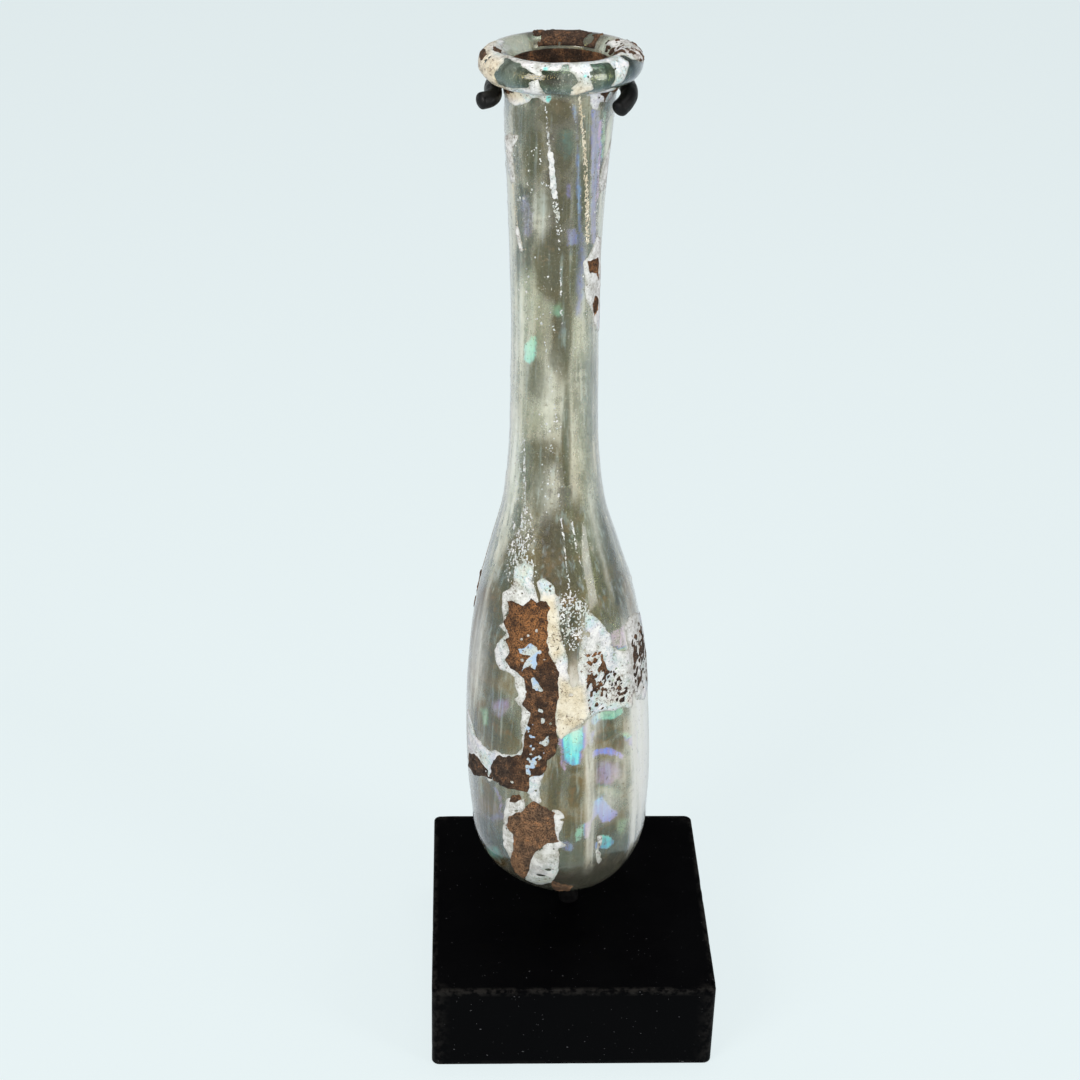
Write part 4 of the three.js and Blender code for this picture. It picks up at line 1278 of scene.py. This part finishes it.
def cradle_route():
    """The bent wire under the rim: a half ring behind the neck and two bent tips, in the stand's frame."""
    turn = np.radians(np.arange(-90, 91, 15))
    ring = CRADLE_RADIUS * np.column_stack([np.sin(turn), -np.cos(turn), 0 * turn])
    corners = np.array([*LEFT_TIP[::-1], *ring, *RIGHT_TIP], float)
    padded = np.concatenate([2 * corners[:1] - corners[1:2], corners, 2 * corners[-1:] - corners[-2:-1]])
    route = []
    for i in range(len(corners) - 1):
        p0, p1, p2, p3 = padded[i : i + 4]
        for t in np.linspace(0, 1, 8, endpoint=False):
            bend = (2 * p0 - 5 * p1 + 4 * p2 - p3) * t**2 + (3 * p1 - 3 * p2 + p3 - p0) * t**3
            route.append(0.5 * (2 * p1 + (p2 - p0) * t + bend))
    route.append(corners[-1])
    x, y, z = np.transpose(route)
    return placed(np.column_stack([bow(CRADLE_HEIGHT) + x, -y, CRADLE_HEIGHT + z]))


def make_stand(material):
    """The cradle, its upright rod, the braze between them, and the pin under the foot."""
    cradle = sweep("cradle_wire", cradle_route(), WIRE_RADIUS, 0.06, 223, material)
    top = placed(np.array([[bow(CRADLE_HEIGHT), CRADLE_RADIUS, CRADLE_HEIGHT]]))[0]
    end = top - (top - ROD_FOOT) / np.linalg.norm(top - ROD_FOOT) * ROD_SHORT
    rod = sweep("upright_rod", np.linspace(ROD_FOOT, end, 160), ROD_RADIUS, 0.04, 227, material)
    # Braze under the cradle's back, as a lumpy bead
    centre = top + (0, BRAZE_SETBACK, -WIRE_RADIUS)
    rows, columns = 24, 36
    tilt = np.linspace(0, math.pi, rows + 1)[1:-1]
    spin = np.arange(columns) * 2 * math.pi / columns
    tilt, spin = (a.ravel() for a in np.meshgrid(tilt, spin, indexing="ij"))
    unit = np.stack([np.sin(tilt) * np.cos(spin), np.sin(tilt) * np.sin(spin), -np.cos(tilt)], -1)
    size = BRAZE_RADIUS * (0.96 + 0.07 * fractal(unit * 4, 2.4, 2, 229))
    poles = [centre - (0, 0, BRAZE_RADIUS * 0.97), centre + (0, 0, BRAZE_RADIUS * 0.97)]
    count = len(unit)
    ends = fans(columns, (count, count + 1), (0, count - columns))
    bead = make_mesh("braze_bead", np.concatenate([centre + unit * size[:, None], poles]),
                     [ring_faces(rows - 1, columns), ends], material)
    pin_ends = (*PIN_PLACE, BASE_HEIGHT - 1), (*PIN_PLACE, PIN_TOP - 0.9)
    pin = sweep("foot_pin", np.linspace(*pin_ends, 12), PIN_RADIUS, 0.05, 233, material)
    return cradle, rod, bead, pin


def put(thing, right, up, back, place):
    """Puts a camera or a light in the scene at a place in millimetres, looking away from back."""
    matrix = np.eye(4)
    matrix[:3] = np.column_stack([right, up, back, np.array(place) * MM])
    thing.matrix_world = Matrix(matrix.tolist())
    bpy.context.scene.collection.objects.link(thing)


def make_camera():
    pitch, yaw, roll = (math.radians(v) for v in (CAMERA_PITCH, CAMERA_YAW, CAMERA_ROLL))
    forward = np.array([math.sin(yaw) * math.cos(pitch), math.cos(yaw) * math.cos(pitch), -math.sin(pitch)])
    level = np.array([math.cos(yaw), -math.sin(yaw), 0])
    up = np.cross(level, forward)
    data = bpy.data.cameras.new("camera")
    data.lens = CAMERA_LENS
    data.sensor_width = 36
    data.clip_start = 0.01
    camera = bpy.data.objects.new("camera", data)
    right = math.cos(roll) * level + math.sin(roll) * up
    put(camera, right, math.cos(roll) * up - math.sin(roll) * level, -forward, CAMERA_PLACE)
    bpy.context.scene.camera = camera


def make_floor():
    n = Nodes("pale_floor")
    n.finish(base_color=(0.09, 0.1, 0.1, 1), roughness=0.9, specular_ior_level=0.0,
             emission_color=srgb(233, 244, 246), emission_strength=0.87)
    corners = FLOOR_REACH * np.array([(-1, -1, 0), (1, -1, 0), (1, 1, 0), (-1, 1, 0)], float)
    make_mesh("floor", corners, [np.array([[0, 1, 2, 3]])], n.material, smooth=False)


def make_light(name, place, size, power, colour=(1, 1, 1)):
    """A soft rectangular light aimed at the middle of the flask."""
    data = bpy.data.lights.new(name, "AREA")
    data.shape = "RECTANGLE"
    data.size, data.size_y = (value * MM for value in size)
    data.energy = power
    data.color = colour
    back = np.array(place, float) - LIGHT_AIM
    back /= np.linalg.norm(back)
    right = np.cross((0, 0, 1), back)
    right /= np.linalg.norm(right)
    put(bpy.data.objects.new(name, data), right, np.cross(back, right), back, place)


def light_studio():
    world = bpy.data.worlds.new("studio")
    world.use_nodes = True
    tree = world.node_tree
    coordinates = tree.nodes.new("ShaderNodeTexCoord")
    parts = tree.nodes.new("ShaderNodeSeparateXYZ")
    height = tree.nodes.new("ShaderNodeMapRange")
    for key, number in (("From Min", 0.05), ("From Max", 0.4), ("To Min", 0.8), ("To Max", 0.12)):
        height.inputs[key].default_value = number
    tree.links.new(coordinates.outputs["Generated"], parts.inputs["Vector"])
    tree.links.new(parts.outputs["Z"], height.inputs["Value"])
    tree.links.new(height.outputs["Result"], tree.nodes["Background"].inputs["Strength"])
    tree.nodes["Background"].inputs["Color"].default_value = (0.9, 0.96, 0.98, 1)
    bpy.context.scene.world = world
    make_light("key", (-400, -430, 430), (260, 420), 3.4, (1, 0.98, 0.95))
    make_light("fill", (470, -330, 300), (160, 400), 1.9, (1, 0.98, 0.96))
    make_light("top", (40, 60, 640), (360, 300), 1.8)
    view = bpy.context.scene.view_settings
    view.view_transform = "Standard"
    view.look = "None"


make_camera()
make_floor()
light_studio()

glass = glass_material()
crust = crust_material()
soil = soil_material()
lacquer = lacquer_material()
steel = steel_material()

flask = make_flask(glass)
crust_looks = (crust_field, crust_lift, crust, crust_attributes)
layers = [
    make_layer("flask_crust", 0.27, (3, 161.5), *crust_looks, (0, CRUST_TURN)),
    make_layer("back_crust", 0.4, (3, 161.5), *crust_looks, (CRUST_TURN, 181)),
    make_layer("flask_silver_specks", 0.12, (18, 151), speck_field, speck_lift, crust, speck_attributes),
    make_layer("flask_soil", 0.27, (3, 162.6), soil_field, soil_lift, soil, soil_attributes),
    make_mouth_soil(soil),
]
block = make_base(lacquer)
cradle, rod, bead, pin = make_stand(steel)

slots = {
    "weathered_glass": (flask, *layers),
    "black_steel": (cradle, rod, bead, pin),
    "black_lacquer": (block,),
}
for slot, pieces in slots.items():
    for piece in pieces:
        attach(piece, "root")
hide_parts("flask")
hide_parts("neck_cradle")
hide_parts("support_rod")
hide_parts("rest_pin")
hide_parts("base")
